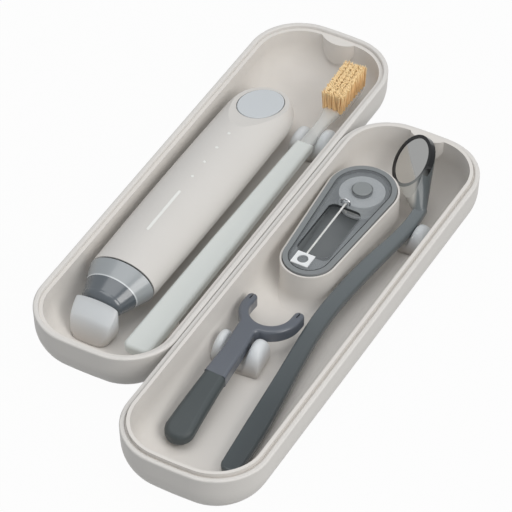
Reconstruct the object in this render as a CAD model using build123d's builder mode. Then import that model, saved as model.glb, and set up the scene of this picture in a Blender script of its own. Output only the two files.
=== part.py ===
from build123d import *
from math import acos, atan2, cos, degrees, radians, sin, sqrt, tan
import os

# Oral care travel case, lying open: the lid half on the left and the base half on the right,
# each resting on its flat bottom with its hollow side up, with the care tools in their places.
# Millimetres. +Z is up and z = 0 is the table. +X runs from the lid half to the base half and
# +Y to the far ends, where the magnets are. The origin is midway between the two halves.

# ---------------------------------------------------------------- driving dimensions
# Case halves
case_length = 220.0
case_width = 62.9
half_height = 24.0  # from the table to the rim
corner_radius = 23.3  # corners of the rim outline
end_crown_radius = 189.0  # the ends of the outline bulge slightly
bottom_radius = 17.0  # big round between the walls and the bottom
wall_draft = 2.4  # degrees
shell_wall = 2.2
rim_round = 0.7
halves_gap = 0.2  # between the two halves where they lie side by side
stagger = 39.3  # how far the lid half lies ahead of the base half

# Liners
liner_wall = 1.4
base_liner_gap = 0.7  # groove between the base shell and its liner
groove_depth = 0.9
liner_fit = 0.05  # below the groove
base_lip_height = 1.3  # the base liner stands this far above the rim
lid_liner_gap = 0.3
lid_rebate_depth = 1.5  # the lid liner stops this far below the rim

# Magnet bosses at the far end of both liners
boss_width = 16.0
boss_reach = 3.4  # inwards from the liner's inner face
boss_drop = 11.0  # from the liner's top edge to the foot of the boss
magnet_length = 9.0
magnet_depth = 2.6
magnet_height = 3.0
magnet_skin = 0.9  # plastic over the magnet
magnet_clearance = 0.05

# Powered handle, measured in its own frame: y = 0 at the seam, +y to the button end
handle_wall_room = 6.35  # from the case's side to the handle
handle_near_room = 50.0  # from the case's near end to the seam
handle_length = 130.0
handle_half_width = 15.4
seam_half_width = 14.9
handle_end_length = 20.0  # length of the rounded button end
flatness = 0.71  # height of the oval section over its width
handle_wall = 1.5
seat_clearance = 0.3  # under pieces that lie in the liners
button_end_room = 15.4  # from the middle of the button to the handle's end
button_half_width = 9.1
button_half_length = 12.8
button_gap = 0.35
button_travel = 0.8
button_proud = 0.3
button_flange = 0.6  # wider than the button all round
button_flange_thickness = 0.7
button_stem_radius = 1.6
facet_drop = 4.7  # from the top of the handle to the middle of the button's flat
facet_slope = 12.0  # degrees, falling to the button end
light_start = 56.8
light_pitch = 10.2
light_count = 4
light_radius = 0.7
bar_start = 20.0
bar_length = 26.8
bar_width = 1.3
light_clearance = 0.05

# Collar, nose cap and what they cover
seal_width = 0.9
seal_recess = 0.6
collar_length = 8.2
collar_front_half_width = 11.8
collar_wall = 2.0
nose_length = 10.4
nose_tip_half_width = 9.4
nose_round = 4.0
nose_wall = 1.3
bulkhead_thickness = 3.0
bulkhead_boss_radius = 4.6
shaft_radius = 1.5
shaft_reach = 8.0  # beyond the collar, inside the nose cap
shaft_clearance = 0.06
shaft_seal_length = 3.0
shaft_seal_radius = 3.0
shaft_depth = 6.0  # inside the motor
shaft_room = 3.0  # radius of the bore round the shaft in the nose cap

# Inside the powered handle
chassis_end_room = 25.0  # from the chassis to the handle's end
chassis_half_width = 7.4
chassis_floor = 1.0
chassis_side = 0.8
chassis_depth = 7.6  # from the axis down to the chassis' underside
chassis_end_wall = 1.6
board_thickness = 1.0
board_height = 6.6  # underside of the board above the axis
board_half_width = 7.2
board_end_room = 35.0  # from the board to the handle's end
cradle_thickness = 2.0
cradle_height = 3.6
cradle_inset = 5.0  # from the ends of the motor and of the cell
motor_radius = 6.3
motor_length = 26.0
motor_start = 8.5
cell_radius = 6.5
cell_length = 45.0
cell_gap = 3.0
switch_size = 6.0
switch_height = 2.0
switch_gap = 0.1  # between the switch and the button's stem
shelf_depth = 6.4  # from the button's flat down to the shelf that carries the switch
shelf_thickness = 1.2
shelf_length = 14.0
shelf_shift = -3.0  # its middle, from the middle of the button
coil_radius = 6.0
coil_gap = 0.3  # from the end of the chassis
coil_width = 2.4
coil_height = 2.4

# Manual toothbrush
brush_side_share = 0.361  # its axis, as a share of the room beside the powered handle
brush_near_room = 17.6  # from the case's near end to the toothbrush
brush_far_room = 14.4  # from the toothbrush to the case's far end
brush_near_width = 12.0
brush_middle_width = 10.6
brush_far_width = 7.6
brush_thickness = 5.0
brush_height = 13.0  # its mid plane above the table
brush_round = 1.6
neck_width = 5.4
neck_thickness = 4.0
neck_tang = 9.0
neck_tang_width = 3.4
neck_tang_thickness = 2.4
brush_head_length = 25.0
brush_head_width = 10.4
brush_head_thickness = 4.5
brush_neck_length = 22.0
tuft_radius = 0.82
tuft_height = 9.6
tuft_depth = 2.5  # inside the head plate
tuft_columns = 4
tuft_rows = 10
tuft_pitch_across = 2.3
tuft_pitch_along = 2.25

# Flosser
flosser_side = -10.8  # its axis at the middle of the base half, from that middle
flosser_turn = -2.0  # degrees, about that place
flosser_near_room = 26.6  # from the case's near end to the flosser
flosser_handle_length = 33.9
flosser_tip = -3.2
flosser_near_height = 7.4  # mid plane above the table at the near end
flosser_neck_height = 13.6
flosser_tip_height = 13.0
flosser_neck = -30.0
flosser_thickness = 6.0
flosser_handle_width = 12.4
flosser_seam_width = 9.6
flosser_seam_side = -1.2  # middle of the seam, from the handle's axis
flosser_neck_width = 8.4
flosser_round = 2.4
fork_round = 1.2
fork_tip_round = 2.1
fork_corner_left = 4.5  # rounds between the neck and the fork
fork_corner_right = 2.2
flosser_neck_lean = 7.0  # degrees to the left, from the seam on
flosser_neck_margin = 1.0  # of the straight neck beyond the clip
fork_inside = 17.4
fork_arm = 4.4
fork_depth = 14.2
floss_slot_width = 0.6
floss_slot_length = 4.0
flosser_tongue_length = 8.0
flosser_tongue_width = 4.0
flosser_tongue_thickness = 2.2

# Floss dispenser
dispenser_side = -10.4
dispenser_far_room = 42.3  # from the spool's axis to the case's far end
dispenser_small_place = 22.2
dispenser_big_radius = 14.4
dispenser_small_radius = 11.0
dispenser_height = 10.0
dispenser_top = 21.0  # above the table
dispenser_wall = 2.2
dispenser_floor = 1.2
dispenser_round = 1.6
cover_thickness = 1.4
cover_ledge = 1.0
cover_clearance = 0.3
window_start = 1.0  # from the small centre
window_spool_room = 13.2  # from the window to the spool's axis
window_half_width = 7.4
window_round = 3.0
pocket_clearance = 0.3
pocket_wall = 0.8
pocket_rim = 1.0  # the dispenser stands this far out of its pocket
pocket_foot_round = 4.5
spool_radius = 9.6
spool_height = 6.9
spool_waist = 5.0
spool_flange = 0.9
spool_lift = 0.3
knob_radius = 4.2
knob_proud = 0.5
knob_clearance = 0.2
spindle_radius = 1.6
spindle_clearance = 0.06
hook_wire = 0.45
hook_radius = 1.9
hook_gap = 1.1  # between the spool's flange and the floss hole
floss_hole_radius = 0.7
hook_rise = 0.8  # straight part of the hook's legs above the cover
hook_side = -1.6  # from the dispenser's middle line
floss_radius = 0.42
winding_radius = 8.6
cutter_width = 7.8
cutter_length = 7.2
cutter_thickness = 0.5
cutter_hole_radius = 2.3
cutter_side = -1.3  # from the small centre
cutter_shift = -3.4

# Mouth mirror
mirror_side = 0.4
mirror_far_room = 19.3  # from the mirror's middle to the case's far end
mirror_height = 23.4
mirror_radius = 11.6
mirror_turn = 222.0  # compass heading of its face, degrees from +X
mirror_rise = 40.4  # tilt of its face's normal above level, degrees
bezel_width = 1.5
bezel_depth = 2.6
mirror_glass_thickness = 1.0
mirror_glass_recess = 0.3
mirror_grip_round = 1.2
mirror_grip_thickness = 4.0
mirror_grip_near_height = 7.0
mirror_grip_far_height = 13.0
# stations along the grip: distance along the case, sideways place, half width
mirror_grip_stations = (
    (27.0 - case_length / 2, 12.8, 4.3),
    (50.0 - case_length / 2, 11.4, 4.6),
    (-30.0, 8.6, 3.9),
    (6.0, 6.2, 3.7),
    (24.0, 7.3, 3.7),
    (case_length / 2 - 68.0, 9.6, 3.5),
    (case_length / 2 - 54.0, 11.9, 3.0),
    (case_length / 2 - 34.5, 12.6, 2.8),
)
mirror_stem_radius = 2.9
mirror_stem_spread = 18.0  # degrees

# Silicone rests
rest_width = 19.6
rest_length = 9.6
rest_height = 20.0  # top above the table
rest_gap = 0.4
clip_gap = 0.3
brush_clip_width = 18.0
brush_clip_length = 14.0
brush_clip_reach = 7.4  # from the end of the toothbrush's handle
brush_clip_top = 17.0
flosser_clip_width = 21.0
flosser_clip_length = 10.0
flosser_clip_place = -28.9
flosser_clip_top = 16.4
mirror_clip_side = 15.8  # its middle, from the middle of the base half
mirror_clip_floor = 10.0  # bottom of its groove above the table
mirror_clip_width = 13.2
mirror_clip_length = 12.0
mirror_clip_far_room = 46.0  # from its middle to the case's far end
mirror_clip_top = 15.6
clip_round = 2.6
saddle_length = 10.0
brush_saddle_reach = 22.4  # from the toothbrush's near end

# ---------------------------------------------------------------- derived places
os.makedirs("parts", exist_ok=True)
half_pitch = (case_width + halves_gap) / 2
lid_x, lid_y = -half_pitch, stagger / 2
base_x, base_y = half_pitch, -stagger / 2
base_liner_inset = shell_wall + base_liner_gap
lid_liner_inset = shell_wall + lid_liner_gap
base_inside_inset = base_liner_inset + liner_wall
lid_inside_inset = lid_liner_inset + liner_wall
liner_floor = shell_wall + liner_wall
base_liner_top = half_height + base_lip_height
lid_liner_top = half_height - lid_rebate_depth
near_end = -case_length / 2
far_end = case_length / 2
handle_side = handle_wall_room + handle_half_width - case_width / 2
handle_seam = near_end + handle_near_room
button_place = handle_length - button_end_room
brush_room = case_width / 2 - handle_side - handle_half_width
brush_side = case_width / 2 - brush_room * (1 - brush_side_share)
brush_near_end = near_end + brush_near_room
head_start = far_end - brush_far_room - brush_head_length
brush_joint = head_start - brush_neck_length
flosser_near_end = near_end + flosser_near_room
flosser_seam = flosser_near_end + flosser_handle_length
dispenser_big_place = far_end - dispenser_far_room
window_length = dispenser_big_place - window_spool_room - dispenser_small_place - window_start
mirror_place = far_end - mirror_far_room
quarter_turn = 90.0


# ---------------------------------------------------------------- shared shapes
def case_outline(inset):
    """Rim outline of a case half about its middle, moved inwards by inset."""
    half_width = case_width / 2 - inset
    half_length = case_length / 2 - inset
    crown = end_crown_radius - inset
    corner = corner_radius - inset
    crown_centre = half_length - crown
    corner_x = half_width - corner
    corner_y = crown_centre + sqrt((crown - corner) ** 2 - corner_x**2)
    turn = degrees(atan2(corner_x, corner_y - crown_centre))
    with BuildLine() as outline:
        CenterArc((0, crown_centre), crown, 90 - turn, 2 * turn)
        CenterArc((corner_x, corner_y), corner, 0, 90 - turn)
        CenterArc((-corner_x, corner_y), corner, 90 + turn, 90 - turn)
        CenterArc((0, -crown_centre), crown, 270 - turn, 2 * turn)
        CenterArc((corner_x, -corner_y), corner, 270 + turn, 90 - turn)
        CenterArc((-corner_x, -corner_y), corner, 180, 90 - turn)
        Line((half_width, -corner_y), (half_width, corner_y))
        Line((-half_width, -corner_y), (-half_width, corner_y))
    return outline.edges()


def case_block(x, y, inset, floor, top):
    """Solid of the case's outer form, moved inwards by inset, from z = floor to z = top."""
    inset_at_top = inset - (top - half_height) * tan(radians(wall_draft))
    with BuildPart() as block:
        with BuildSketch(Plane((x, y, top))):
            make_face(case_outline(inset_at_top))
        extrude(amount=top - floor, dir=(0, 0, -1), taper=wall_draft)
        fillet(block.faces().sort_by(Axis.Z)[0].edges(), bottom_radius - inset)
    return block.part


def teardrop(big_radius, small_radius):
    """Draws the dispenser's outline in the current sketch, its axis along y."""
    with Locations((0, dispenser_big_place)):
        Circle(big_radius)
    with Locations((0, dispenser_small_place)):
        Circle(small_radius)
    make_hull()


# ---------------------------------------------------------------- case shells
def case_shell(x, y):
    """Outer shell of one case half."""
    outside = case_block(x, y, 0, 0, half_height)
    inside = case_block(x, y, shell_wall, shell_wall, half_height)
    with BuildPart() as shell:
        add(outside)
        add(inside, mode=Mode.SUBTRACT)
        fillet(shell.faces().sort_by(Axis.Z)[-1].edges(), rim_round)
    return shell


lid_shell = case_shell(lid_x, lid_y)
lid_shell.part.label = "lid_shell"
export_step(lid_shell.part, "parts/lid_shell.step")

base_shell = case_shell(base_x, base_y)
base_shell.part.label = "base_shell"
export_step(base_shell.part, "parts/base_shell.step")


# ---------------------------------------------------------------- liners
def magnet_slot(x, y, inset, top):
    """Middle of the magnet behind a liner's far end wall."""
    back = y + case_length / 2 - inset
    return (x, back - magnet_depth / 2, top - magnet_skin - magnet_height / 2)


def case_liner(x, y, inset, top):
    """Moulded liner of one half, with a hollow boss at its far end for the magnet."""
    with BuildPart() as outside:
        add(case_block(x, y, inset, shell_wall, top))
        add(case_block(x, y, shell_wall + liner_fit, shell_wall, min(top, half_height - groove_depth)))
    inside = case_block(x, y, inset + liner_wall, liner_floor, top)
    inner_end = y + case_length / 2 - inset - liner_wall
    boss_face = Plane(origin=(x, inner_end - boss_reach, top), x_dir=(1, 0, 0), z_dir=(0, 1, 0))
    straight = boss_drop - boss_width / 2
    boss_crown = boss_width**2 / (8 * boss_reach) + boss_reach / 2
    with BuildPart() as boss:
        with BuildSketch(boss_face):
            with Locations((0, straight / 2)):
                Rectangle(boss_width, straight)
            with Locations((0, straight)):
                Circle(boss_width / 2)
        extrude(amount=boss_reach + liner_wall)
        with BuildSketch(Plane((x, inner_end - boss_reach + boss_crown, 0))):
            Circle(boss_crown)
            with Locations((0, liner_wall)):
                Circle(boss_crown)
        extrude(amount=top, mode=Mode.INTERSECT)
        add(outside.part, mode=Mode.INTERSECT)
    slot_x, slot_y, slot_z = magnet_slot(x, y, inset, top)
    with BuildPart() as liner:
        add(outside.part)
        add(inside, mode=Mode.SUBTRACT)
        add(boss.part)
        with Locations((slot_x, slot_y + magnet_depth / 2, slot_z)):
            Box(
                magnet_length + 2 * magnet_clearance,
                2 * (magnet_depth + magnet_clearance),
                magnet_height + 2 * magnet_clearance,
                mode=Mode.SUBTRACT,
            )
    return liner.part


def case_magnet(x, y, inset, top):
    """Block magnet, held in the slot behind the boss."""
    with BuildPart() as magnet:
        with Locations(magnet_slot(x, y, inset, top)):
            Box(magnet_length, magnet_depth, magnet_height)
    return magnet


# Lid liner, with a moulded saddle under the near end of the toothbrush
brush_x = lid_x + brush_side
brush_underside = brush_height - brush_thickness / 2
with BuildPart() as brush_saddle:
    with BuildSketch(Plane((brush_x, lid_y + brush_near_end + brush_saddle_reach, shell_wall))):
        RectangleRounded(brush_middle_width, saddle_length, brush_middle_width / 5)
    extrude(amount=brush_underside - shell_wall)
    add(case_block(lid_x, lid_y, lid_liner_inset, shell_wall, lid_liner_top), mode=Mode.INTERSECT)
with BuildPart() as lid_liner:
    add(case_liner(lid_x, lid_y, lid_liner_inset, lid_liner_top))
    add(brush_saddle.part)
lid_liner.part.label = "lid_liner"
export_step(lid_liner.part, "parts/lid_liner.step")

# Base liner, with the dispenser's pocket rising from its floor
dispenser_plane = Plane((base_x + dispenser_side, base_y, 0))
dispenser_bottom = dispenser_top - dispenser_height
with BuildPart() as pocket_boss:
    with BuildSketch(Plane((base_x, base_y, shell_wall))):
        Rectangle(case_width, case_length)
    extrude(amount=liner_wall)
    with BuildSketch(dispenser_plane.offset(shell_wall)):
        teardrop(
            dispenser_big_radius + pocket_clearance + pocket_wall,
            dispenser_small_radius + pocket_clearance + pocket_wall,
        )
    extrude(amount=dispenser_top - pocket_rim - shell_wall)
    foot = pocket_boss.faces().filter_by(Axis.Z).sort_by(SortBy.AREA)[-2]
    fillet(foot.inner_wires()[0].edges(), pocket_foot_round)
    add(case_block(base_x, base_y, base_liner_inset, shell_wall, base_liner_top), mode=Mode.INTERSECT)
with BuildPart() as base_liner:
    add(case_liner(base_x, base_y, base_liner_inset, base_liner_top))
    add(pocket_boss.part)
    with BuildSketch(dispenser_plane.offset(dispenser_bottom)):
        teardrop(dispenser_big_radius + pocket_clearance, dispenser_small_radius + pocket_clearance)
    extrude(amount=dispenser_height, mode=Mode.SUBTRACT)
base_liner.part.label = "base_liner"
export_step(base_liner.part, "parts/base_liner.step")

lid_magnet = case_magnet(lid_x, lid_y, lid_liner_inset, lid_liner_top)
lid_magnet.part.label = "lid_magnet"
export_step(lid_magnet.part, "parts/lid_magnet.step")

base_magnet = case_magnet(base_x, base_y, base_liner_inset, base_liner_top)
base_magnet.part.label = "base_magnet"
export_step(base_magnet.part, "parts/base_magnet.step")


# ---------------------------------------------------------------- powered handle
handle_half_height = handle_half_width * flatness
handle_height = liner_floor + seat_clearance + handle_half_height
handle_seat = Location((lid_x + handle_side, lid_y + handle_seam, handle_height))
slope = radians(facet_slope)
facet = Plane(
    origin=(0, button_place, handle_half_height - facet_drop),
    x_dir=(1, 0, 0),
    z_dir=(0, sin(slope), cos(slope)),
)


def handle_form(inset):
    """Oval body of the handle, moved inwards by inset, with the slanted flat for the button."""
    shoulder = handle_length - handle_end_length
    with BuildPart() as form:
        with BuildSketch(Plane.XY):
            with BuildLine():
                Line((0, 0), (seam_half_width - inset, 0))
                ThreePointArc(
                    (seam_half_width - inset, 0),
                    (handle_half_width - inset, shoulder / 2),
                    (seam_half_width - inset, shoulder),
                )
                EllipticalCenterArc(
                    (0, shoulder),
                    seam_half_width - inset,
                    handle_end_length - inset,
                    start_angle=0,
                    arc_size=quarter_turn,
                )
                Line((0, handle_length - inset), (0, 0))
            make_face()
        revolve(axis=Axis.Y)
        scale(by=(1, 1, flatness))
        split(bisect_by=facet.offset(-inset), keep=Keep.BOTTOM)
    return form.part


def oval_cone(rear, front, rear_half_width, front_half_width):
    """Oval solid between two places on the handle's axis, narrowing to the front."""
    with BuildPart() as cone:
        with BuildSketch(Plane.XY):
            Polygon(
                (0, rear),
                (rear_half_width, rear),
                (front_half_width, front),
                (0, front),
                align=None,
            )
        revolve(axis=Axis.Y)
        scale(by=(1, 1, flatness))
    return cone.part


def rod(radius, start, length):
    """Round rod along the handle's axis."""
    with BuildPart() as round_rod:
        with BuildSketch(Plane.XZ.offset(-start)):
            Circle(radius)
        extrude(amount=-length)
    return round_rod.part


handle_outside = handle_form(0)
handle_inside = handle_form(handle_wall)
board_top = board_height + board_thickness
bar_middle = bar_start + bar_length / 2
lights_middle = light_start + light_pitch * (light_count - 1) / 2


def light_circles(clearance):
    """Plan of the indicator lights in the current sketch."""
    with Locations((0, lights_middle)):
        with GridLocations(light_pitch, light_pitch, 1, light_count):
            Circle(light_radius + clearance)


# Shell with its openings for the button and the lights
with BuildPart() as handle_shell:
    add(handle_outside)
    add(handle_inside, mode=Mode.SUBTRACT)
    with BuildSketch(facet):
        Ellipse(button_half_width + button_gap, button_half_length + button_gap)
    extrude(amount=-handle_wall, mode=Mode.SUBTRACT)
    with BuildSketch(Plane.XY.offset(board_top)):
        light_circles(light_clearance)
        with Locations((0, bar_middle)):
            SlotOverall(bar_length + 2 * light_clearance, bar_width + 2 * light_clearance, rotation=90)
    extrude(amount=handle_half_height, mode=Mode.SUBTRACT)
handle_shell.part.locate(handle_seat)
handle_shell.part.label = "handle_shell"
export_step(handle_shell.part, "parts/handle_shell.step")

# Light pipes standing on the board and ending flush with the shell
with BuildPart() as indicator_lights:
    with BuildSketch(Plane.XY.offset(board_top)):
        light_circles(0)
    extrude(amount=handle_half_height)
    add(handle_outside, mode=Mode.INTERSECT)
indicator_lights.part.locate(handle_seat)
indicator_lights.part.label = "indicator_lights"
export_step(indicator_lights.part, "parts/indicator_lights.step")

with BuildPart() as light_bar:
    with BuildSketch(Plane.XY.offset(board_top)):
        with Locations((0, bar_middle)):
            SlotOverall(bar_length, bar_width, rotation=90)
    extrude(amount=handle_half_height)
    add(handle_outside, mode=Mode.INTERSECT)
light_bar.part.locate(handle_seat)
light_bar.part.label = "light_bar"
export_step(light_bar.part, "parts/light_bar.step")

# Button: a plate in the flat, a flange that the switch's spring holds against the shell, and a stem
button_underside = handle_wall + button_flange_thickness
stem_end = shelf_depth - switch_height - button_travel - switch_gap
with BuildPart() as power_button:
    with BuildSketch(facet.offset(button_proud)):
        Ellipse(button_half_width, button_half_length)
    extrude(amount=-button_proud - button_underside)
    with BuildSketch(facet.offset(-button_underside)):
        Ellipse(button_half_width + button_flange, button_half_length + button_flange)
    extrude(amount=button_flange_thickness)
    with BuildSketch(facet.offset(-stem_end)):
        Circle(button_stem_radius)
    extrude(amount=stem_end - button_underside)
    fillet(power_button.faces().sort_by(Axis(facet.origin, facet.z_dir))[-1].edges(), button_proud)
power_button.part.locate(handle_seat)
power_button.part.label = "power_button"
export_step(power_button.part, "parts/power_button.step")

# Seal, bulkhead and collar at the seam
collar_front = -seal_width - collar_length
nose_front = collar_front - nose_length
collar_inside = seam_half_width - collar_wall
socket_half_width = nose_tip_half_width - nose_wall
socket_depth = nose_length - nose_round
with BuildPart() as seam_seal:
    add(oval_cone(0, -seal_width, seam_half_width - seal_recess, seam_half_width - seal_recess))
    add(oval_cone(0, -seal_width, collar_inside, collar_inside), mode=Mode.SUBTRACT)
seam_seal.part.locate(handle_seat)
seam_seal.part.label = "seam_seal"
export_step(seam_seal.part, "parts/seam_seal.step")

with BuildPart() as front_bulkhead:
    add(handle_inside)
    split(bisect_by=Plane.XZ.offset(-bulkhead_thickness), keep=Keep.TOP)
    add(rod(bulkhead_boss_radius, collar_front, -collar_front))
    add(
        rod(shaft_radius + shaft_clearance, collar_front, bulkhead_thickness - collar_front),
        mode=Mode.SUBTRACT,
    )
    add(rod(shaft_seal_radius, collar_front, shaft_seal_length), mode=Mode.SUBTRACT)
front_bulkhead.part.locate(handle_seat)
front_bulkhead.part.label = "front_bulkhead"
export_step(front_bulkhead.part, "parts/front_bulkhead.step")

with BuildPart() as collar_ring:
    add(oval_cone(-seal_width, collar_front, seam_half_width, collar_front_half_width))
    add(
        oval_cone(
            -seal_width,
            collar_front + collar_wall,
            collar_inside,
            collar_front_half_width - collar_wall,
        ),
        mode=Mode.SUBTRACT,
    )
    add(oval_cone(collar_front, collar_front - socket_depth / 2, socket_half_width, socket_half_width))
    add(rod(bulkhead_boss_radius, nose_front, nose_length + collar_length), mode=Mode.SUBTRACT)
collar_ring.part.locate(handle_seat)
collar_ring.part.label = "collar_ring"
export_step(collar_ring.part, "parts/collar_ring.step")

with BuildPart() as shaft_seal:
    add(rod(shaft_seal_radius, collar_front, shaft_seal_length))
    add(rod(shaft_radius + shaft_clearance, collar_front, shaft_seal_length), mode=Mode.SUBTRACT)
shaft_seal.part.locate(handle_seat)
shaft_seal.part.label = "shaft_seal"
export_step(shaft_seal.part, "parts/shaft_seal.step")

# Nose cap over the end of the drive shaft
dome_start = nose_front + nose_round
with BuildPart() as nose_cap:
    with BuildSketch(Plane.XY):
        with BuildLine():
            Polyline(
                (0, nose_front),
                (0, collar_front),
                (collar_front_half_width, collar_front),
                (nose_tip_half_width, dome_start),
            )
            EllipticalCenterArc(
                (0, dome_start),
                nose_tip_half_width,
                nose_round,
                start_angle=-quarter_turn,
                arc_size=quarter_turn,
            )
        make_face()
    revolve(axis=Axis.Y)
    scale(by=(1, 1, flatness))
    add(
        oval_cone(collar_front, collar_front - socket_depth, socket_half_width, socket_half_width),
        mode=Mode.SUBTRACT,
    )
    add(rod(shaft_room, nose_front + nose_wall, nose_length - nose_wall), mode=Mode.SUBTRACT)
nose_cap.part.locate(handle_seat)
nose_cap.part.label = "nose_cap"
export_step(nose_cap.part, "parts/nose_cap.step")

# Motor and its shaft
shaft_start = collar_front - shaft_reach
with BuildPart() as drive_motor:
    add(rod(motor_radius, motor_start, motor_length))
    add(rod(shaft_radius, motor_start, shaft_depth), mode=Mode.SUBTRACT)
drive_motor.part.locate(handle_seat)
drive_motor.part.label = "drive_motor"
export_step(drive_motor.part, "parts/drive_motor.step")

with BuildPart() as drive_shaft:
    add(rod(shaft_radius, shaft_start, motor_start + shaft_depth - shaft_start))
drive_shaft.part.locate(handle_seat)
drive_shaft.part.label = "drive_shaft"
export_step(drive_shaft.part, "parts/drive_shaft.step")

cell_start = motor_start + motor_length + cell_gap
with BuildPart() as battery_cell:
    add(rod(cell_radius, cell_start, cell_length))
battery_cell.part.locate(handle_seat)
battery_cell.part.label = "battery_cell"
export_step(battery_cell.part, "parts/battery_cell.step")

# Chassis: a trough for motor and cell, a shelf under the button and a tray for the coil
chassis_end = handle_length - chassis_end_room
chassis_length = chassis_end - bulkhead_thickness
board_end = handle_length - board_end_room
board_length = board_end - bulkhead_thickness
coil_outside = coil_radius + coil_width / 2
coil_place = chassis_end + coil_gap + coil_outside
trough_half_width = chassis_half_width - chassis_side
trough_length = chassis_length - chassis_end_wall
cradle_places = (
    motor_start + cradle_inset,
    motor_start + motor_length - cradle_inset,
    cell_start + cradle_inset,
    cell_start + cell_length - cradle_inset,
)
with BuildPart() as chassis:
    with BuildSketch(Plane.XY.offset(-chassis_depth)):
        with Locations((0, bulkhead_thickness + chassis_length / 2)):
            Rectangle(2 * chassis_half_width, chassis_length)
    extrude(amount=chassis_depth + board_height)
    with BuildSketch(Plane.XY.offset(chassis_floor - chassis_depth)):
        with Locations((0, bulkhead_thickness + trough_length / 2)):
            Rectangle(2 * trough_half_width, trough_length)
    extrude(amount=chassis_depth + board_height, mode=Mode.SUBTRACT)
    with BuildSketch(Plane.XY.offset(chassis_floor - chassis_depth)):
        with Locations(*[(0, place) for place in cradle_places]):
            Rectangle(2 * trough_half_width, cradle_thickness)
    extrude(amount=cradle_height)
    add(rod(motor_radius, motor_start, motor_length), mode=Mode.SUBTRACT)
    add(rod(cell_radius, cell_start, cell_length), mode=Mode.SUBTRACT)
    with BuildSketch(facet.offset(-shelf_depth)):
        Rectangle(4 * chassis_half_width, 2 * (button_place - board_end))
    extrude(amount=chassis_depth + board_height, mode=Mode.SUBTRACT)
    with BuildSketch(facet.offset(-shelf_depth)):
        with Locations((0, shelf_shift)):
            Rectangle(2 * chassis_half_width, shelf_length)
    extrude(amount=-shelf_thickness)
    with BuildSketch(Plane.XY.offset(-chassis_depth)):
        with Locations((0, coil_place)):
            Circle(coil_outside)
        with Locations((0, (chassis_end + coil_place) / 2)):
            Rectangle(2 * coil_outside, coil_place - chassis_end)
    extrude(amount=chassis_floor)
chassis.part.locate(handle_seat)
chassis.part.label = "chassis"
export_step(chassis.part, "parts/chassis.step")

with BuildPart() as circuit_board:
    with BuildSketch(Plane.XY.offset(board_height)):
        with Locations((0, bulkhead_thickness + board_length / 2)):
            Rectangle(2 * board_half_width, board_length)
    extrude(amount=board_thickness)
circuit_board.part.locate(handle_seat)
circuit_board.part.label = "circuit_board"
export_step(circuit_board.part, "parts/circuit_board.step")

with BuildPart() as button_switch:
    with BuildSketch(facet.offset(-shelf_depth)):
        Rectangle(switch_size, switch_size)
    extrude(amount=switch_height)
button_switch.part.locate(handle_seat)
button_switch.part.label = "button_switch"
export_step(button_switch.part, "parts/button_switch.step")

with BuildPart() as charging_coil:
    with BuildSketch(Plane.XY.offset(chassis_floor - chassis_depth)):
        with Locations((0, coil_place)):
            Circle(coil_outside)
            Circle(coil_radius - coil_width / 2, mode=Mode.SUBTRACT)
    extrude(amount=coil_height)
charging_coil.part.locate(handle_seat)
charging_coil.part.label = "charging_coil"
export_step(charging_coil.part, "parts/charging_coil.step")


# ---------------------------------------------------------------- toothbrush
brush_plane = Plane((brush_x, lid_y, brush_underside))
neck_underside = brush_height - neck_thickness / 2
tuft_floor = neck_underside + brush_head_thickness


def neck_tang_block():
    """Tang of the neck inside the toothbrush handle."""
    with BuildPart() as tang:
        with Locations((brush_x, lid_y + brush_joint - neck_tang / 2, brush_height)):
            Box(neck_tang_width, neck_tang, neck_tang_thickness)
    return tang.part


def tuft_circles():
    """Plan of the tufts in the current sketch."""
    with Locations((0, head_start + brush_head_length / 2)):
        with GridLocations(tuft_pitch_across, tuft_pitch_along, tuft_columns, tuft_rows):
            Circle(tuft_radius)


with BuildPart() as brush_handle:
    with BuildSketch(brush_plane):
        Polygon(
            (-brush_near_width / 2, brush_near_end),
            (brush_near_width / 2, brush_near_end),
            (brush_middle_width / 2, (brush_near_end + brush_joint) / 2),
            (brush_far_width / 2, brush_joint),
            (-brush_far_width / 2, brush_joint),
            (-brush_middle_width / 2, (brush_near_end + brush_joint) / 2),
            align=None,
        )
    extrude(amount=brush_thickness)
    fillet(brush_handle.edges().filter_by(Axis.Z).group_by(Axis.Y)[0], brush_near_width / 4)
    fillet(brush_handle.faces().sort_by(Axis.Z)[-1].edges(), brush_round)
    fillet(brush_handle.faces().sort_by(Axis.Z)[0].edges(), brush_round)
    add(neck_tang_block(), mode=Mode.SUBTRACT)
brush_handle.part.label = "brush_handle"
export_step(brush_handle.part, "parts/brush_handle.step")

with BuildPart() as brush_neck:
    with BuildSketch(Plane((brush_x, lid_y, neck_underside))):
        with Locations((0, (brush_joint + head_start) / 2)):
            Rectangle(neck_width, brush_neck_length)
    extrude(amount=neck_thickness)
    add(neck_tang_block())
    with BuildSketch(Plane((brush_x, lid_y, neck_underside))):
        with Locations((0, head_start + brush_head_length / 2)):
            RectangleRounded(brush_head_width, brush_head_length, brush_head_width / 2.5)
    extrude(amount=brush_head_thickness)
    with BuildSketch(Plane((brush_x, lid_y, tuft_floor))):
        tuft_circles()
    extrude(amount=-tuft_depth, mode=Mode.SUBTRACT)
brush_neck.part.label = "brush_neck"
export_step(brush_neck.part, "parts/brush_neck.step")

with BuildPart() as bristle_tufts:
    with BuildSketch(Plane((brush_x, lid_y, tuft_floor - tuft_depth))):
        tuft_circles()
    extrude(amount=tuft_depth + tuft_height)
bristle_tufts.part.label = "bristle_tufts"
export_step(bristle_tufts.part, "parts/bristle_tufts.step")


# ---------------------------------------------------------------- flosser
flosser_x = base_x + flosser_side
flosser_seat = Location((flosser_x, base_y, 0), (0, 0, flosser_turn))
fork_radius = fork_inside / 2 + fork_arm
fork_place = flosser_tip - fork_depth + fork_inside / 2
neck_start = flosser_clip_place - flosser_clip_length / 2 - flosser_neck_margin
neck_end = fork_place - fork_inside / 2


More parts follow.
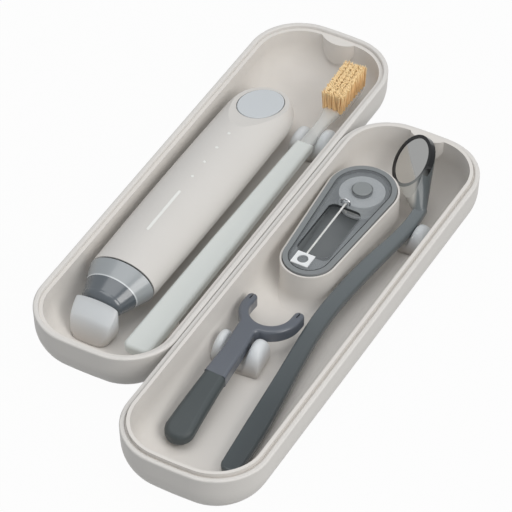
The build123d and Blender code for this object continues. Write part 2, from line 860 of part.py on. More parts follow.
def neck_drift(place):
    """How far the leaning neck's middle has moved to the left at a place along the flosser."""
    return (flosser_seam - place) * tan(radians(flosser_neck_lean))


def arched(thickness):
    """Slab that follows the flosser's arch, wide enough for the whole flosser."""
    with BuildPart() as slab:
        with BuildSketch(Plane((-fork_radius, 0, 0), x_dir=(0, 1, 0), z_dir=(1, 0, 0))):
            with BuildLine():
                ThreePointArc(
                    (flosser_near_end, flosser_near_height),
                    (flosser_neck, flosser_neck_height),
                    (flosser_tip, flosser_tip_height),
                )
            trace(line_width=thickness)
        extrude(amount=2 * fork_radius)
    return slab.part


def rim_edges(builder):
    """Edges round the arched top and bottom of a flosser piece."""
    return builder.faces().filter_by(GeomType.CYLINDER).sort_by(SortBy.AREA)[-2:].edges()


def flosser_tongue():
    """Tongue of the head inside the handle."""
    with BuildPart() as tongue:
        with BuildSketch(Plane.XY):
            with Locations((0, flosser_seam - flosser_tongue_length / 2)):
                Rectangle(flosser_tongue_width, flosser_tongue_length)
        extrude(amount=half_height)
        add(arched(flosser_tongue_thickness), mode=Mode.INTERSECT)
    return tongue.part


with BuildPart() as flosser_handle:
    with BuildSketch(Plane.XY):
        Polygon(
            (-flosser_handle_width / 2, flosser_near_end + flosser_handle_width / 2),
            (flosser_seam_side - flosser_seam_width / 2, flosser_seam),
            (flosser_seam_side + flosser_seam_width / 2, flosser_seam),
            (flosser_handle_width / 2, flosser_near_end + flosser_handle_width / 2),
            align=None,
        )
        with Locations((0, flosser_near_end + flosser_handle_width / 2)):
            Circle(flosser_handle_width / 2)
    extrude(amount=half_height)
    add(arched(flosser_thickness), mode=Mode.INTERSECT)
    fillet(
        rim_edges(flosser_handle).filter_by(lambda edge: edge.center().Y < flosser_seam - flosser_round),
        flosser_round,
    )
    add(flosser_tongue(), mode=Mode.SUBTRACT)
flosser_handle.part.locate(flosser_seat)
flosser_handle.part.label = "flosser_handle"
export_step(flosser_handle.part, "parts/flosser_handle.step")

with BuildPart() as flosser_head:
    with BuildSketch(Plane.XY) as head_plan:
        Polygon(
            (flosser_seam_side - flosser_seam_width / 2, flosser_seam),
            (flosser_seam_side + flosser_seam_width / 2, flosser_seam),
            (neck_drift(neck_start) + flosser_neck_width / 2, neck_start),
            (neck_drift(neck_end) + flosser_neck_width / 2, neck_end),
            (neck_drift(neck_end) - flosser_neck_width / 2, neck_end),
            (neck_drift(neck_start) - flosser_neck_width / 2, neck_start),
            align=None,
        )
        with Locations((0, fork_place)):
            Circle(fork_radius)
        fork_root = (neck_drift(neck_end) - flosser_neck_width / 2, neck_end - fork_arm)
        fillet(head_plan.vertices().sort_by_distance(fork_root)[0], fork_corner_left)
        fork_root = (neck_drift(neck_end) + flosser_neck_width / 2, neck_end - fork_arm)
        fillet(head_plan.vertices().sort_by_distance(fork_root)[0], fork_corner_right)
        with Locations((0, (fork_place + flosser_tip) / 2)):
            Rectangle(2 * fork_radius, flosser_tip - fork_place)
        with Locations((0, fork_place)):
            Circle(fork_inside / 2, mode=Mode.SUBTRACT)
        with Locations((0, fork_place + fork_radius)):
            Rectangle(fork_inside, 2 * fork_radius, mode=Mode.SUBTRACT)
        with Locations((0, flosser_tip + fork_radius)):
            Rectangle(2 * fork_radius, 2 * fork_radius, mode=Mode.SUBTRACT)
        fillet(head_plan.vertices().group_by(Axis.Y)[-1], fork_tip_round)
    extrude(amount=half_height)
    add(arched(flosser_thickness), mode=Mode.INTERSECT)
    fillet(
        rim_edges(flosser_head).filter_by(lambda edge: edge.center().Y > flosser_seam + fork_round),
        fork_round,
    )
    with BuildSketch(Plane.XY):
        with Locations((0, flosser_tip)):
            with GridLocations(fork_inside + fork_arm, fork_arm, 2, 1):
                Rectangle(floss_slot_width, 2 * floss_slot_length)
    extrude(amount=half_height, mode=Mode.SUBTRACT)
    add(flosser_tongue())
flosser_head.part.locate(flosser_seat)
flosser_head.part.label = "flosser_head"
export_step(flosser_head.part, "parts/flosser_head.step")


# ---------------------------------------------------------------- floss dispenser
spool_place = Location((base_x + dispenser_side, base_y + dispenser_big_place, 0))
body_ledge = dispenser_top - cover_thickness
spool_bottom = dispenser_bottom + dispenser_floor + spool_lift
spool_top = spool_bottom + spool_height
strand_height = spool_bottom + spool_height / 2
with BuildPart() as dispenser_body:
    with BuildSketch(dispenser_plane.offset(dispenser_bottom)):
        teardrop(dispenser_big_radius, dispenser_small_radius)
    extrude(amount=dispenser_height)
    fillet(dispenser_body.faces().sort_by(Axis.Z)[0].edges(), dispenser_round)
    with BuildSketch(dispenser_plane.offset(dispenser_bottom + dispenser_floor)):
        teardrop(
            dispenser_big_radius - dispenser_wall - cover_ledge,
            dispenser_small_radius - dispenser_wall - cover_ledge,
        )
    extrude(amount=dispenser_height, mode=Mode.SUBTRACT)
    with BuildSketch(dispenser_plane.offset(body_ledge)):
        teardrop(dispenser_big_radius - dispenser_wall, dispenser_small_radius - dispenser_wall)
    extrude(amount=dispenser_height, mode=Mode.SUBTRACT)
    with BuildSketch(dispenser_plane.offset(dispenser_bottom + dispenser_floor)):
        with Locations((0, dispenser_big_place)):
            Circle(spindle_radius)
    extrude(amount=spool_lift + spool_height)
dispenser_body.part.label = "dispenser_body"
export_step(dispenser_body.part, "parts/dispenser_body.step")

hook_x = base_x + dispenser_side + hook_side
hook_y = base_y + dispenser_big_place - spool_radius - hook_gap - floss_hole_radius
with BuildPart() as dispenser_cover:
    with BuildSketch(dispenser_plane.offset(body_ledge)):
        teardrop(
            dispenser_big_radius - dispenser_wall - cover_clearance,
            dispenser_small_radius - dispenser_wall - cover_clearance,
        )
        with Locations((0, dispenser_big_place)):
            Circle(knob_radius + knob_clearance, mode=Mode.SUBTRACT)
        with Locations((hook_side, hook_y - base_y)):
            Circle(floss_hole_radius, mode=Mode.SUBTRACT)
        with Locations((0, dispenser_small_place + window_start + window_length / 2)):
            RectangleRounded(
                2 * window_half_width, window_length, window_round, mode=Mode.SUBTRACT
            )
    extrude(amount=cover_thickness)
dispenser_cover.part.label = "dispenser_cover"
export_step(dispenser_cover.part, "parts/dispenser_cover.step")

# Spool turning on the spindle, its winding and the knob that turns it
with BuildPart() as floss_spool:
    with BuildSketch(Plane.XY.offset(spool_bottom)):
        Circle(spool_radius)
    extrude(amount=spool_flange)
    with BuildSketch(Plane.XY.offset(spool_top)):
        Circle(spool_radius)
    extrude(amount=-spool_flange)
    with BuildSketch(Plane.XY.offset(spool_bottom)):
        Circle(spool_waist)
    extrude(amount=spool_height)
    with BuildSketch(Plane.XY.offset(spool_bottom)):
        Circle(spindle_radius + spindle_clearance)
    extrude(amount=spool_height, mode=Mode.SUBTRACT)
floss_spool.part.locate(spool_place)
floss_spool.part.label = "floss_spool"
export_step(floss_spool.part, "parts/floss_spool.step")

with BuildPart() as floss_winding:
    with BuildSketch(Plane.XY.offset(spool_bottom + spool_flange)):
        Circle(winding_radius)
        Circle(spool_waist, mode=Mode.SUBTRACT)
    extrude(amount=spool_height - 2 * spool_flange)
floss_winding.part.locate(spool_place)
floss_winding.part.label = "floss_winding"
export_step(floss_winding.part, "parts/floss_winding.step")

with BuildPart() as spool_knob:
    with BuildSketch(Plane.XY.offset(spool_top)):
        Circle(knob_radius)
    extrude(amount=dispenser_top + knob_proud - spool_top)
    fillet(spool_knob.faces().sort_by(Axis.Z)[-1].edges(), knob_proud)
spool_knob.part.locate(spool_place)
spool_knob.part.label = "spool_knob"
export_step(spool_knob.part, "parts/spool_knob.step")

# Wire guide on the cover, over the hole that the floss comes out of
cutter_x = base_x + dispenser_side + cutter_side
cutter_y = base_y + dispenser_small_place + cutter_shift
with BuildPart() as guide_hook:
    with BuildLine(Plane(origin=(hook_x, hook_y, dispenser_top), x_dir=(1, 0, 0), z_dir=(0, -1, 0))):
        Line((-hook_radius, 0), (-hook_radius, hook_rise))
        ThreePointArc(
            (-hook_radius, hook_rise), (0, hook_rise + hook_radius), (hook_radius, hook_rise)
        )
        Line((hook_radius, hook_rise), (hook_radius, 0))
    with BuildSketch(Plane((hook_x - hook_radius, hook_y, dispenser_top))):
        Circle(hook_wire)
    sweep()
guide_hook.part.label = "guide_hook"
export_step(guide_hook.part, "parts/guide_hook.step")

# The strand leaves the winding as a tangent, comes up through its hole and crosses to the cutter
strand_circle = winding_radius + floss_radius
spool_to_hook = base_y + dispenser_big_place - hook_y
hook_reach = sqrt(hook_side**2 + spool_to_hook**2)
leave_heading = atan2(-spool_to_hook, hook_side) - acos(strand_circle / hook_reach)
strand_start = Vector(
    base_x + dispenser_side + strand_circle * cos(leave_heading),
    base_y + dispenser_big_place + strand_circle * sin(leave_heading),
    strand_height,
)
hole_foot = Vector(hook_x, hook_y, strand_height)
strand_top = dispenser_top + floss_radius
with BuildPart() as floss_strand:
    with BuildLine():
        Polyline(
            strand_start,
            hole_foot,
            (hook_x, hook_y, strand_top),
            (cutter_x, cutter_y + cutter_length / 2, strand_top),
        )
    with BuildSketch(Plane(origin=strand_start, z_dir=hole_foot - strand_start)):
        Circle(floss_radius)
    sweep(transition=Transition.ROUND)
floss_strand.part.label = "floss_strand"
export_step(floss_strand.part, "parts/floss_strand.step")

with BuildPart() as cutter_plate:
    with BuildSketch(Plane((cutter_x, cutter_y, dispenser_top))):
        Rectangle(cutter_width, cutter_length)
        Circle(cutter_hole_radius, mode=Mode.SUBTRACT)
    extrude(amount=cutter_thickness)
cutter_plate.part.label = "cutter_plate"
export_step(cutter_plate.part, "parts/cutter_plate.step")


# ---------------------------------------------------------------- mirror
grip_plane = Plane((base_x, base_y, 0))
grip_near_place, grip_near_side, grip_near_half_width = mirror_grip_stations[0]
grip_far_place, grip_far_side = mirror_grip_stations[-1][:2]
grip_slope = (mirror_grip_far_height - mirror_grip_near_height) / (grip_far_place - grip_near_place)
grip_middle_height = mirror_grip_near_height - grip_slope * grip_near_place
turn = radians(mirror_turn)
rise = radians(mirror_rise)
mirror_normal = Vector(cos(turn) * cos(rise), sin(turn) * cos(rise), sin(rise))
mirror_centre = Vector(base_x + mirror_side, base_y + mirror_place, mirror_height)
mirror_face = Plane(origin=mirror_centre, z_dir=mirror_normal)
grip_end = Vector(base_x + grip_far_side, base_y + grip_far_place, mirror_grip_far_height)
stem = mirror_centre - grip_end
glass_radius = mirror_radius - bezel_width
glass_back = mirror_glass_recess + mirror_glass_thickness


def grip_outline(extra):
    """Edges of the plan of the mirror's grip, widened by extra."""
    left = [(side - half_width - extra, place) for place, side, half_width in mirror_grip_stations]
    right = [(side + half_width + extra, place) for place, side, half_width in mirror_grip_stations]
    with BuildLine() as outline:
        Spline(*left)
        Spline(*right)
        ThreePointArc(
            left[0], (grip_near_side, grip_near_place - grip_near_half_width - extra), right[0]
        )
        Line(left[-1], right[-1])
    return outline.edges()


def mirror_disc(radius, front, back):
    """Round disc about the mirror's centre, between two depths behind the face of its ring."""
    with BuildPart() as disc:
        with BuildSketch(mirror_face.offset(-front)):
            Circle(radius)
        extrude(amount=front - back)
    return disc.part


def mirror_stem():
    """Half funnel that widens from the grip's end to the back of the mirror."""
    with BuildPart() as funnel:
        with Locations(Plane(origin=grip_end, z_dir=stem)):
            Cone(
                mirror_stem_radius,
                mirror_stem_radius + stem.length * tan(radians(mirror_stem_spread)),
                stem.length,
                align=(Align.CENTER, Align.CENTER, Align.MIN),
            )
        split(bisect_by=mirror_face, keep=Keep.BOTTOM)
        with Locations(grip_end):
            Sphere(mirror_stem_radius)
    return funnel.part


with BuildPart() as mirror_grip:
    with BuildSketch(grip_plane):
        make_face(grip_outline(0))
    extrude(amount=half_height)
    with BuildSketch(Plane((base_x, base_y, 0), x_dir=(0, 1, 0), z_dir=(1, 0, 0))):
        with BuildLine():
            Line(
                (near_end, grip_middle_height + grip_slope * near_end),
                (far_end, grip_middle_height + grip_slope * far_end),
            )
        trace(line_width=mirror_grip_thickness)
    extrude(amount=case_width / 2, mode=Mode.INTERSECT)
    long_edges = mirror_grip.edges().filter_by(lambda edge: edge.length > 2 * mirror_grip_thickness)
    fillet(long_edges, mirror_grip_round)
    add(mirror_stem())
    add(mirror_disc(mirror_radius, -half_height, bezel_depth), mode=Mode.SUBTRACT)
    add(mirror_disc(glass_radius, glass_back, bezel_depth))
mirror_grip.part.label = "mirror_grip"
export_step(mirror_grip.part, "parts/mirror_grip.step")

with BuildPart() as mirror_bezel:
    add(mirror_disc(mirror_radius, 0, bezel_depth))
    add(mirror_disc(glass_radius, 0, bezel_depth), mode=Mode.SUBTRACT)
mirror_bezel.part.label = "mirror_bezel"
export_step(mirror_bezel.part, "parts/mirror_bezel.step")

with BuildPart() as mirror_glass:
    add(mirror_disc(glass_radius, mirror_glass_recess, glass_back))
mirror_glass.part.label = "mirror_glass"
export_step(mirror_glass.part, "parts/mirror_glass.step")


# ---------------------------------------------------------------- soft rests and clips
lid_room = case_block(lid_x, lid_y, lid_inside_inset, liner_floor, lid_liner_top)
base_room = case_block(base_x, base_y, base_inside_inset, liner_floor, base_liner_top)


def soft_block(x, y, width, length, top, groove_width, groove_floor):
    """Soft block with rounded shoulders and a groove along the case, standing on the liner."""
    front = Plane(origin=(x, y + length / 2, 0), x_dir=(1, 0, 0), z_dir=(0, -1, 0))
    with BuildPart() as block:
        with BuildSketch(front) as profile:
            with Locations((0, (liner_floor + top) / 2)):
                Rectangle(width, top - liner_floor)
            fillet(profile.vertices().group_by(Axis.Y)[-1], clip_round)
            if groove_width:
                with Locations((0, groove_floor + half_height / 2)):
                    Rectangle(groove_width, half_height, mode=Mode.SUBTRACT)
        extrude(amount=length)
    return block.part


nose_end = lid_y + handle_seam + nose_front
with BuildPart() as handle_rest:
    add(
        soft_block(
            lid_x + handle_side,
            nose_end - rest_gap - rest_length / 2,
            rest_width,
            rest_length,
            rest_height,
            0,
            rest_height,
        )
    )
    add(lid_room, mode=Mode.INTERSECT)
handle_rest.part.label = "handle_rest"
export_step(handle_rest.part, "parts/handle_rest.step")

with BuildPart() as brush_clip:
    add(
        soft_block(
            brush_x,
            lid_y + brush_joint + brush_clip_reach,
            brush_clip_width,
            brush_clip_length,
            brush_clip_top,
            neck_width + 2 * clip_gap,
            neck_underside,
        )
    )
    add(lid_room, mode=Mode.INTERSECT)
brush_clip.part.label = "brush_clip"
export_step(brush_clip.part, "parts/brush_clip.step")

with BuildPart() as flosser_clip:
    add(
        soft_block(
            0,
            0,
            flosser_clip_width,
            flosser_clip_length,
            flosser_clip_top,
            flosser_neck_width + 2 * clip_gap,
            flosser_neck_height - flosser_thickness / 2 - clip_gap,
        ).moved(
            flosser_seat
            * Location(
                (neck_drift(flosser_clip_place), flosser_clip_place, 0), (0, 0, flosser_neck_lean)
            )
        )
    )
    add(base_room, mode=Mode.INTERSECT)
flosser_clip.part.label = "flosser_clip"
export_step(flosser_clip.part, "parts/flosser_clip.step")

with BuildPart() as mirror_clip:
    add(
        soft_block(
            base_x + mirror_clip_side,
            base_y + far_end - mirror_clip_far_room,
            mirror_clip_width,
            mirror_clip_length,
            mirror_clip_top,
            0,
            mirror_clip_top,
        )
    )
    with BuildSketch(grip_plane.offset(mirror_clip_floor)):
        make_face(grip_outline(clip_gap))
    extrude(amount=half_height, mode=Mode.SUBTRACT)
    add(base_room, mode=Mode.INTERSECT)
mirror_clip.part.label = "mirror_clip"
export_step(mirror_clip.part, "parts/mirror_clip.step")
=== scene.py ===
import math

import bmesh
import bpy
from mathutils import Matrix, Vector
from mathutils.bvhtree import BVHTree


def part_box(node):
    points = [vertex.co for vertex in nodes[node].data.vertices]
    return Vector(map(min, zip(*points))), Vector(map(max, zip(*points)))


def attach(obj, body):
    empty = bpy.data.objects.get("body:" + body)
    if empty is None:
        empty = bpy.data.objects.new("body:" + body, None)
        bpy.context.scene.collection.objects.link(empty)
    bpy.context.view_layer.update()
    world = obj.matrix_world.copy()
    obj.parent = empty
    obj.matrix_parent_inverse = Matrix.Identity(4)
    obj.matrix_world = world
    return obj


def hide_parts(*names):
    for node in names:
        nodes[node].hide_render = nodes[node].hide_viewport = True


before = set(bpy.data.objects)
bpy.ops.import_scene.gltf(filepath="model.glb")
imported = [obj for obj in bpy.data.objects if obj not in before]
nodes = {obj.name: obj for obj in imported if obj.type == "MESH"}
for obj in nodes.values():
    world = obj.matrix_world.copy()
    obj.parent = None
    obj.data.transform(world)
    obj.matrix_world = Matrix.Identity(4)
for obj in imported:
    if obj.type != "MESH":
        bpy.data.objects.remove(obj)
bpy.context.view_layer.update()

# %% [markdown]
# # An oral care travel case, dressed for its portrait
# The solids of the case, its tools and their inner parts come in as a fixed frame, in metres.
# This lesson gives each of them its finish, and makes the few pieces that a solid model leaves
# plain: bristles, floss, the coil's wire, the clear neck of the toothbrush, and the soft
# silicone rest and clips.

# %% Millimetres
mm = 0.001

# %% [markdown]
# ## Colours and nodes
# Paint and plastic colours are noted as sRGB hex values, the way a maker's colour card gives
# them. Shaders work in linear light, so one function turns a hex value into linear numbers.
# A second small function adds any node with its settings and its links.


# %% Helpers for colours and shader nodes
def linear(hex_value):
    """sRGB hex such as "D3D0CB" to linear RGBA."""
    shares = [int(hex_value[i : i + 2], 16) / 255 for i in (0, 2, 4)]
    return [s / 12.92 if s <= 0.04045 else ((s + 0.055) / 1.055) ** 2.4 for s in shares] + [1.0]


def add_node(tree, kind, inputs=None, **settings):
    """Adds a node, sets its properties, and sets or links its inputs by name or number."""
    node = tree.nodes.new(kind)
    for name, value in settings.items():
        setattr(node, name, value)
    for name, value in (inputs or {}).items():
        if isinstance(value, bpy.types.NodeSocket):
            tree.links.new(value, node.inputs[name])
        else:
            node.inputs[name].default_value = value
    return node


# %% [markdown]
# ## A finish is a tone, a grain and a gloss
# Moulded plastic is never one flat colour: the melt flows unevenly, the steel of the mould was
# spark eroded to a fine grain, and handling polishes it a little. Nearly all the finishes here
# share that pattern, so one function lays a slow drift between two near tones, a fine grain as
# bump, and a roughness that follows the grain. Sizes are real millimetres. A grain finer than
# half a millimetre would vanish in the render, so the finest is drawn at about that size.


# %% The shared pattern of the finishes
gloss_spread = 0.05  # how far the roughness varies, up and down
finishes = []


def finish(name, tones, roughness, drift=30.0, grain=0.6, depth=0.01, stretch=(1, 1, 1), **shader):
    """Material with two near tones, a drift and a grain in mm, and the bump's depth in mm."""
    material = bpy.data.materials.new(name)
    material.use_nodes = True
    tree = material.node_tree
    tree.nodes.clear()
    place = add_node(tree, "ShaderNodeTexCoord").outputs["Object"]
    place = add_node(tree, "ShaderNodeMapping", {"Vector": place, "Scale": stretch}).outputs[0]
    slow = add_node(
        tree, "ShaderNodeTexNoise", {"Vector": place, "Scale": 1 / (drift * mm), "Detail": 3.0}
    )
    fine = add_node(
        tree, "ShaderNodeTexNoise", {"Vector": place, "Scale": 1 / (grain * mm), "Detail": 4.0}
    )
    tone = add_node(
        tree,
        "ShaderNodeMix",
        {"Factor": slow.outputs["Fac"], "A": linear(tones[0]), "B": linear(tones[1])},
        data_type="RGBA",
    )
    gloss = add_node(
        tree,
        "ShaderNodeMapRange",
        {
            "Value": fine.outputs["Fac"],
            "To Min": max(roughness - gloss_spread, 0.0),
            "To Max": roughness + gloss_spread,
        },
    )
    bump = add_node(
        tree,
        "ShaderNodeBump",
        {"Height": fine.outputs["Fac"], "Distance": depth * mm, "Strength": 1.0},
    )
    surface = add_node(
        tree,
        "ShaderNodeBsdfPrincipled",
        {
            "Base Color": tone.outputs[2],
            "Roughness": gloss.outputs[0],
            "Normal": bump.outputs[0],
            **shader,
        },
    )
    add_node(tree, "ShaderNodeOutputMaterial", {"Surface": surface.outputs[0]})
    finishes.append(material)
    return material


# %% [markdown]
# ## The finishes of the case, the tools and the inner parts
# Each finish starts from its real material: matt ABS for the shells, satin polypropylene for
# the liners, soft-touch lacquer on the powered handle, smoky polycarbonate for collar, nose
# cap and dispenser, smoky acrylic for the mirror's bar, and rubber, steel, nickel, copper and
# laminate inside. Plastics bend light by 1.48 to 1.58, silicone by 1.41, and metals keep the
# default.

# %% Finishes
# Matt ABS, spark eroded: soft wide highlights, warm light grey
case_abs = finish("case_abs_matt", ("DBD8D4", "D6D3CF"), 0.52, depth=0.012, IOR=1.53)
# Polypropylene liner, moulded satin: a little warmer and deeper than the shell
liner_pp = finish("liner_polypropylene_satin", ("DFDBD6", "DAD6D1"), 0.5, depth=0.008, IOR=1.49)
# Soft-touch lacquer on ABS: very even, with a faint sheen
handle_lacquer = finish(
    "handle_soft_touch_lacquer", ("D6D3CF", "D1CECA"), 0.42, depth=0.004, IOR=1.5
)
# Frosted silicone over the switch: cooler than the handle
button_silicone = finish(
    "button_frosted_silicone", ("CDD1D4", "C7CCD0"), 0.38, depth=0.003, IOR=1.41
)
# Light pipe in clear polycarbonate, white from below
light_pipe = finish(
    "light_pipe_white", ("F2F2EE", "E6E7E4"), 0.25, grain=1.0, depth=0.002, IOR=1.58
)
# Smoky grey polycarbonate collar, satin
collar_grey = finish(
    "collar_satin_grey",
    ("9DA2A5", "92979A"),
    0.3,
    depth=0.003,
    IOR=1.58,
    **{"Coat Weight": 0.8, "Coat Roughness": 0.15},
)
# Glossy smoky nose cap
nose_smoke = finish(
    "nose_cap_smoke",
    ("596067", "4E555B"),
    0.24,
    grain=2.0,
    depth=0.001,
    IOR=1.58,
    **{"Coat Weight": 1.0, "Coat Roughness": 0.12},
)
# Nitrile seals
seal_rubber = finish("seal_nitrile_rubber", ("2E3032", "262829"), 0.6, depth=0.01, IOR=1.52)
# Glass filled nylon for chassis and bulkhead
chassis_nylon = finish(
    "chassis_glass_filled_nylon", ("3A3D3F", "303335"), 0.5, grain=1.2, IOR=1.53
)
# Nickel plated magnets
magnet_nickel = finish(
    "magnet_nickel_plate", ("C9C4B8", "BDB8AC"), 0.22, depth=0.002, Metallic=1.0
)
# Drawn steel of motor can and shaft: fine lines along the drawing
motor_steel = finish(
    "motor_drawn_steel",
    ("B7BABC", "A9ACAF"),
    0.3,
    stretch=(1, 0.05, 1),
    depth=0.004,
    Metallic=1.0,
)
# Bright wire of the guide
bright_steel = finish(
    "bright_rolled_steel",
    ("E4E6E8", "D6D8DB"),
    0.2,
    stretch=(1, 0.08, 1),
    depth=0.002,
    Metallic=1.0,
)
# Ground steel of the cutter: fine scratches scatter the light, so it looks pale and satin
cutter_satin = finish(
    "cutter_ground_steel", ("F6F7F8", "EEF0F1"), 0.5, grain=0.8, depth=0.003, Metallic=0.5
)
# Shrink sleeve round the cell
cell_sleeve = finish(
    "cell_pvc_sleeve", ("3E5E86", "365479"), 0.35, grain=3.0, depth=0.01, IOR=1.53
)
# Solder resist over glass cloth
board_laminate = finish(
    "board_green_laminate", ("2D5B41", "264D37"), 0.35, drift=2.5, grain=0.8, depth=0.01, IOR=1.55
)
# Enamelled copper
coil_copper = finish(
    "coil_enamelled_copper", ("B46A3A", "A05A2E"), 0.28, depth=0.004, Metallic=1.0
)
# Brush handle: satin polypropylene, faintly green
brush_satin = finish("brush_handle_satin", ("D8DCD9", "D1D5D2"), 0.42, depth=0.005, IOR=1.49)
# Flosser: soft thermoplastic grip and satin slate head
grip_tpe = finish("grip_soft_elastomer", ("484F51", "404749"), 0.48, depth=0.01, IOR=1.5)
slate_satin = finish(
    "flosser_head_slate",
    ("5C626C", "545962"),
    0.34,
    depth=0.004,
    IOR=1.5,
    **{"Coat Weight": 0.7, "Coat Roughness": 0.25},
)
# Acetal of the spool, and the knob's satin ABS
spool_white = finish("spool_white_acetal", ("ECEEEF", "E2E5E7"), 0.35, depth=0.003, IOR=1.48)
knob_grey = finish("knob_grey_abs", ("8C9091", "838788"), 0.35, depth=0.003, IOR=1.53)
# Mirror ring, polished black
ring_black = finish(
    "mirror_ring_gloss_black", ("101214", "0C0D0F"), 0.08, grain=3.0, depth=0.001
)
# Front-silvered glass
mirror_silver = finish(
    "mirror_silvered_glass", ("D3D2CF", "CDCCC9"), 0.04, grain=6.0, depth=0.0005, Metallic=1.0
)
# Nylon bristles, orange and a little glossy
bristle_nylon = finish(
    "bristle_nylon_orange", ("FFE0AC", "FFD49A"), 0.35, drift=0.8, grain=0.5, depth=0.002, IOR=1.53
)
# Waxed floss, nearly matt
floss_white = finish(
    "floss_waxed_white", ("F7F7F4", "E9EAE8"), 0.45, drift=1.5, grain=0.5, depth=0.02, IOR=1.5
)
# Silicone rests: milky, bluish, light passes a few millimetres in all colours alike
rest_silicone = finish(
    "rest_milky_silicone",
    ("ECF0F3", "E4E9ED"),
    0.36,
    grain=1.5,
    depth=0.001,
    IOR=1.41,
    **{
        "Subsurface Weight": 0.6,
        "Subsurface Scale": 0.005,
        "Subsurface Radius": (1.0, 1.0, 1.0),
        "Transmission Weight": 0.2,
    },
)
# Smoky polycarbonate of the dispenser's body, and its clear cover
smoke_body = finish(
    "dispenser_smoky_polycarbonate",
    ("9CA0A2", "93989A"),
    0.2,
    grain=2.0,
    depth=0.001,
    IOR=1.5,
    **{"Transmission Weight": 0.3},
)
clear_cover = finish(
    "cover_clear_polycarbonate",
    ("A9AEB1", "A1A6AA"),
    0.12,
    grain=2.0,
    depth=0.0005,
    IOR=1.58,
    Alpha=0.32,
)
# Smoky acrylic of the mirror's bar, clearer in the thin funnel
mirror_smoke = finish(
    "mirror_grip_smoky_acrylic",
    ("565D60", "4F5659"),
    0.18,
    grain=2.0,
    depth=0.001,
    IOR=1.49,
    **{"Transmission Weight": 0.15},
)
# Clear copolyester of the toothbrush's neck
neck_clear = finish(
    "brush_neck_clear_copolyester",
    ("E9EAE8", "E1E3E1"),
    0.1,
    grain=3.0,
    depth=0.0,
    IOR=1.57,
    Alpha=0.5,
)
print("finishes:", len(finishes))

# %% [markdown]
# ## Where a finish changes along a piece
# Clear and smoky plastic looks lighter where it is thin and darker where light leaves it at an
# edge. Light through real depth would need many bounces and a clean inside, so that light and
# shade are painted over the finish instead, by a share from 0 to 1. A ramp along one axis of the
# piece's own coordinates gives that share, so it stays with the piece when that moves.

# %% Helpers for a change along a piece
changed_finishes = set()


def ramp(material, axis, start, end):
    """Share that runs from 0 at start to 1 at end along an axis, both in metres."""
    tree = material.node_tree
    place = add_node(tree, "ShaderNodeTexCoord").outputs["Object"]
    along = add_node(tree, "ShaderNodeSeparateXYZ", {0: place}).outputs[axis]
    return add_node(
        tree, "ShaderNodeMapRange", {"Value": along, "From Min": start, "From Max": end}
    ).outputs[0]


def blend(material, share, colour, **values):
    """Turns a finish to another colour, and other settings to new values, by a share."""
    changed_finishes.add(material.name)
    tree = material.node_tree
    surface = next(node for node in tree.nodes if node.type == "BSDF_PRINCIPLED")
    base = surface.inputs["Base Color"]
    tone = add_node(
        tree,
        "ShaderNodeMix",
        {"Factor": share, "A": base.links[0].from_socket, "B": linear(colour)},
        data_type="RGBA",
    )
    tree.links.new(tone.outputs[2], base)
    for name, value in values.items():
        socket = surface.inputs[name]
        changed = add_node(
            tree,
            "ShaderNodeMapRange",
            {"Value": share, "To Min": socket.default_value, "To Max": value},
        )
        tree.links.new(changed.outputs[0], socket)


# %% Mirror's bar: painted light, lighter towards its thin far end, darker again in the funnel
bend = Vector((44.15 * mm, 55.85 * mm, 0))  # far end of the bar, where the funnel begins
bar_dark_end = -70 * mm
funnel_start = bend.y - 2 * mm
funnel_full = bend.y + 6 * mm
# painted light: the smoky tone lightens towards the far end, as if light passed through
blend(mirror_smoke, ramp(mirror_smoke, "Y", bar_dark_end, bend.y), "7C8386")
blend(mirror_smoke, ramp(mirror_smoke, "Y", funnel_start, funnel_full), "5A6062")

# %% Mirror's funnel: the liner's tone painted on its clear left side, past the bend
across_stem = Vector((0.993, 0.361, 0))  # a point counts as further right the more it lies this way
clear_start = -1.7 * mm
clear_full = -3.3 * mm
tree = mirror_smoke.node_tree
place = add_node(tree, "ShaderNodeTexCoord").outputs["Object"]
aside = add_node(
    tree, "ShaderNodeVectorMath", {0: place, 1: bend}, operation="SUBTRACT"
).outputs[0]
across = add_node(
    tree, "ShaderNodeVectorMath", {0: aside, 1: across_stem}, operation="DOT_PRODUCT"
).outputs["Value"]
left_side = add_node(
    tree, "ShaderNodeMapRange", {"Value": across, "From Min": clear_start, "From Max": clear_full}
).outputs[0]
clear_side_start = bend.y - 2.5 * mm
clear_side_full = bend.y - 0.5 * mm
past_bend = ramp(mirror_smoke, "Y", clear_side_start, clear_side_full)
see_through_share = add_node(tree, "ShaderNodeMath", {0: left_side, 1: past_bend}, operation="MULTIPLY")
# painted see-through: the liner's warm tone where the clear funnel would show it
blend(mirror_smoke, see_through_share.outputs[0], "C6C4BE")

# %% Mirror's ring: black, and grey where the clear stem carries it
ring_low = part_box("mirror_bezel")[0]
ring_black_end = ring_low.y + 5 * mm
ring_grey_start = ring_low.y + 1.5 * mm
blend(ring_black, ramp(ring_black, "Y", ring_black_end, ring_grey_start), "7E8180")

# %% Silicone: painted light, the liner's warm tone showing through its thin foot
foot_start = 14 * mm
foot_full = 5 * mm
# painted: the liner's tone towards the foot, where it would show through
blend(rest_silicone, ramp(rest_silicone, "Z", foot_start, foot_full), "CFC9C3")

# %% Collar: a painted highlight along its front edge
collar_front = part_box("nose_cap")[1].y
highlight_start = collar_front + 0.7 * mm
highlight_full = collar_front + 0.4 * mm
# painted highlight: a lighter band where a bevel would catch the light
blend(collar_grey, ramp(collar_grey, "Y", highlight_start, highlight_full), "CDD1D3")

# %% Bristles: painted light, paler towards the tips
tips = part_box("bristle_tufts")[1].z
pale_start = tips - 5 * mm
pale_full = tips - 1.8 * mm
# painted light on the tips, lighter than the shaded sides
blend(bristle_nylon, ramp(bristle_nylon, "Z", pale_start, pale_full), "FFE3B0")
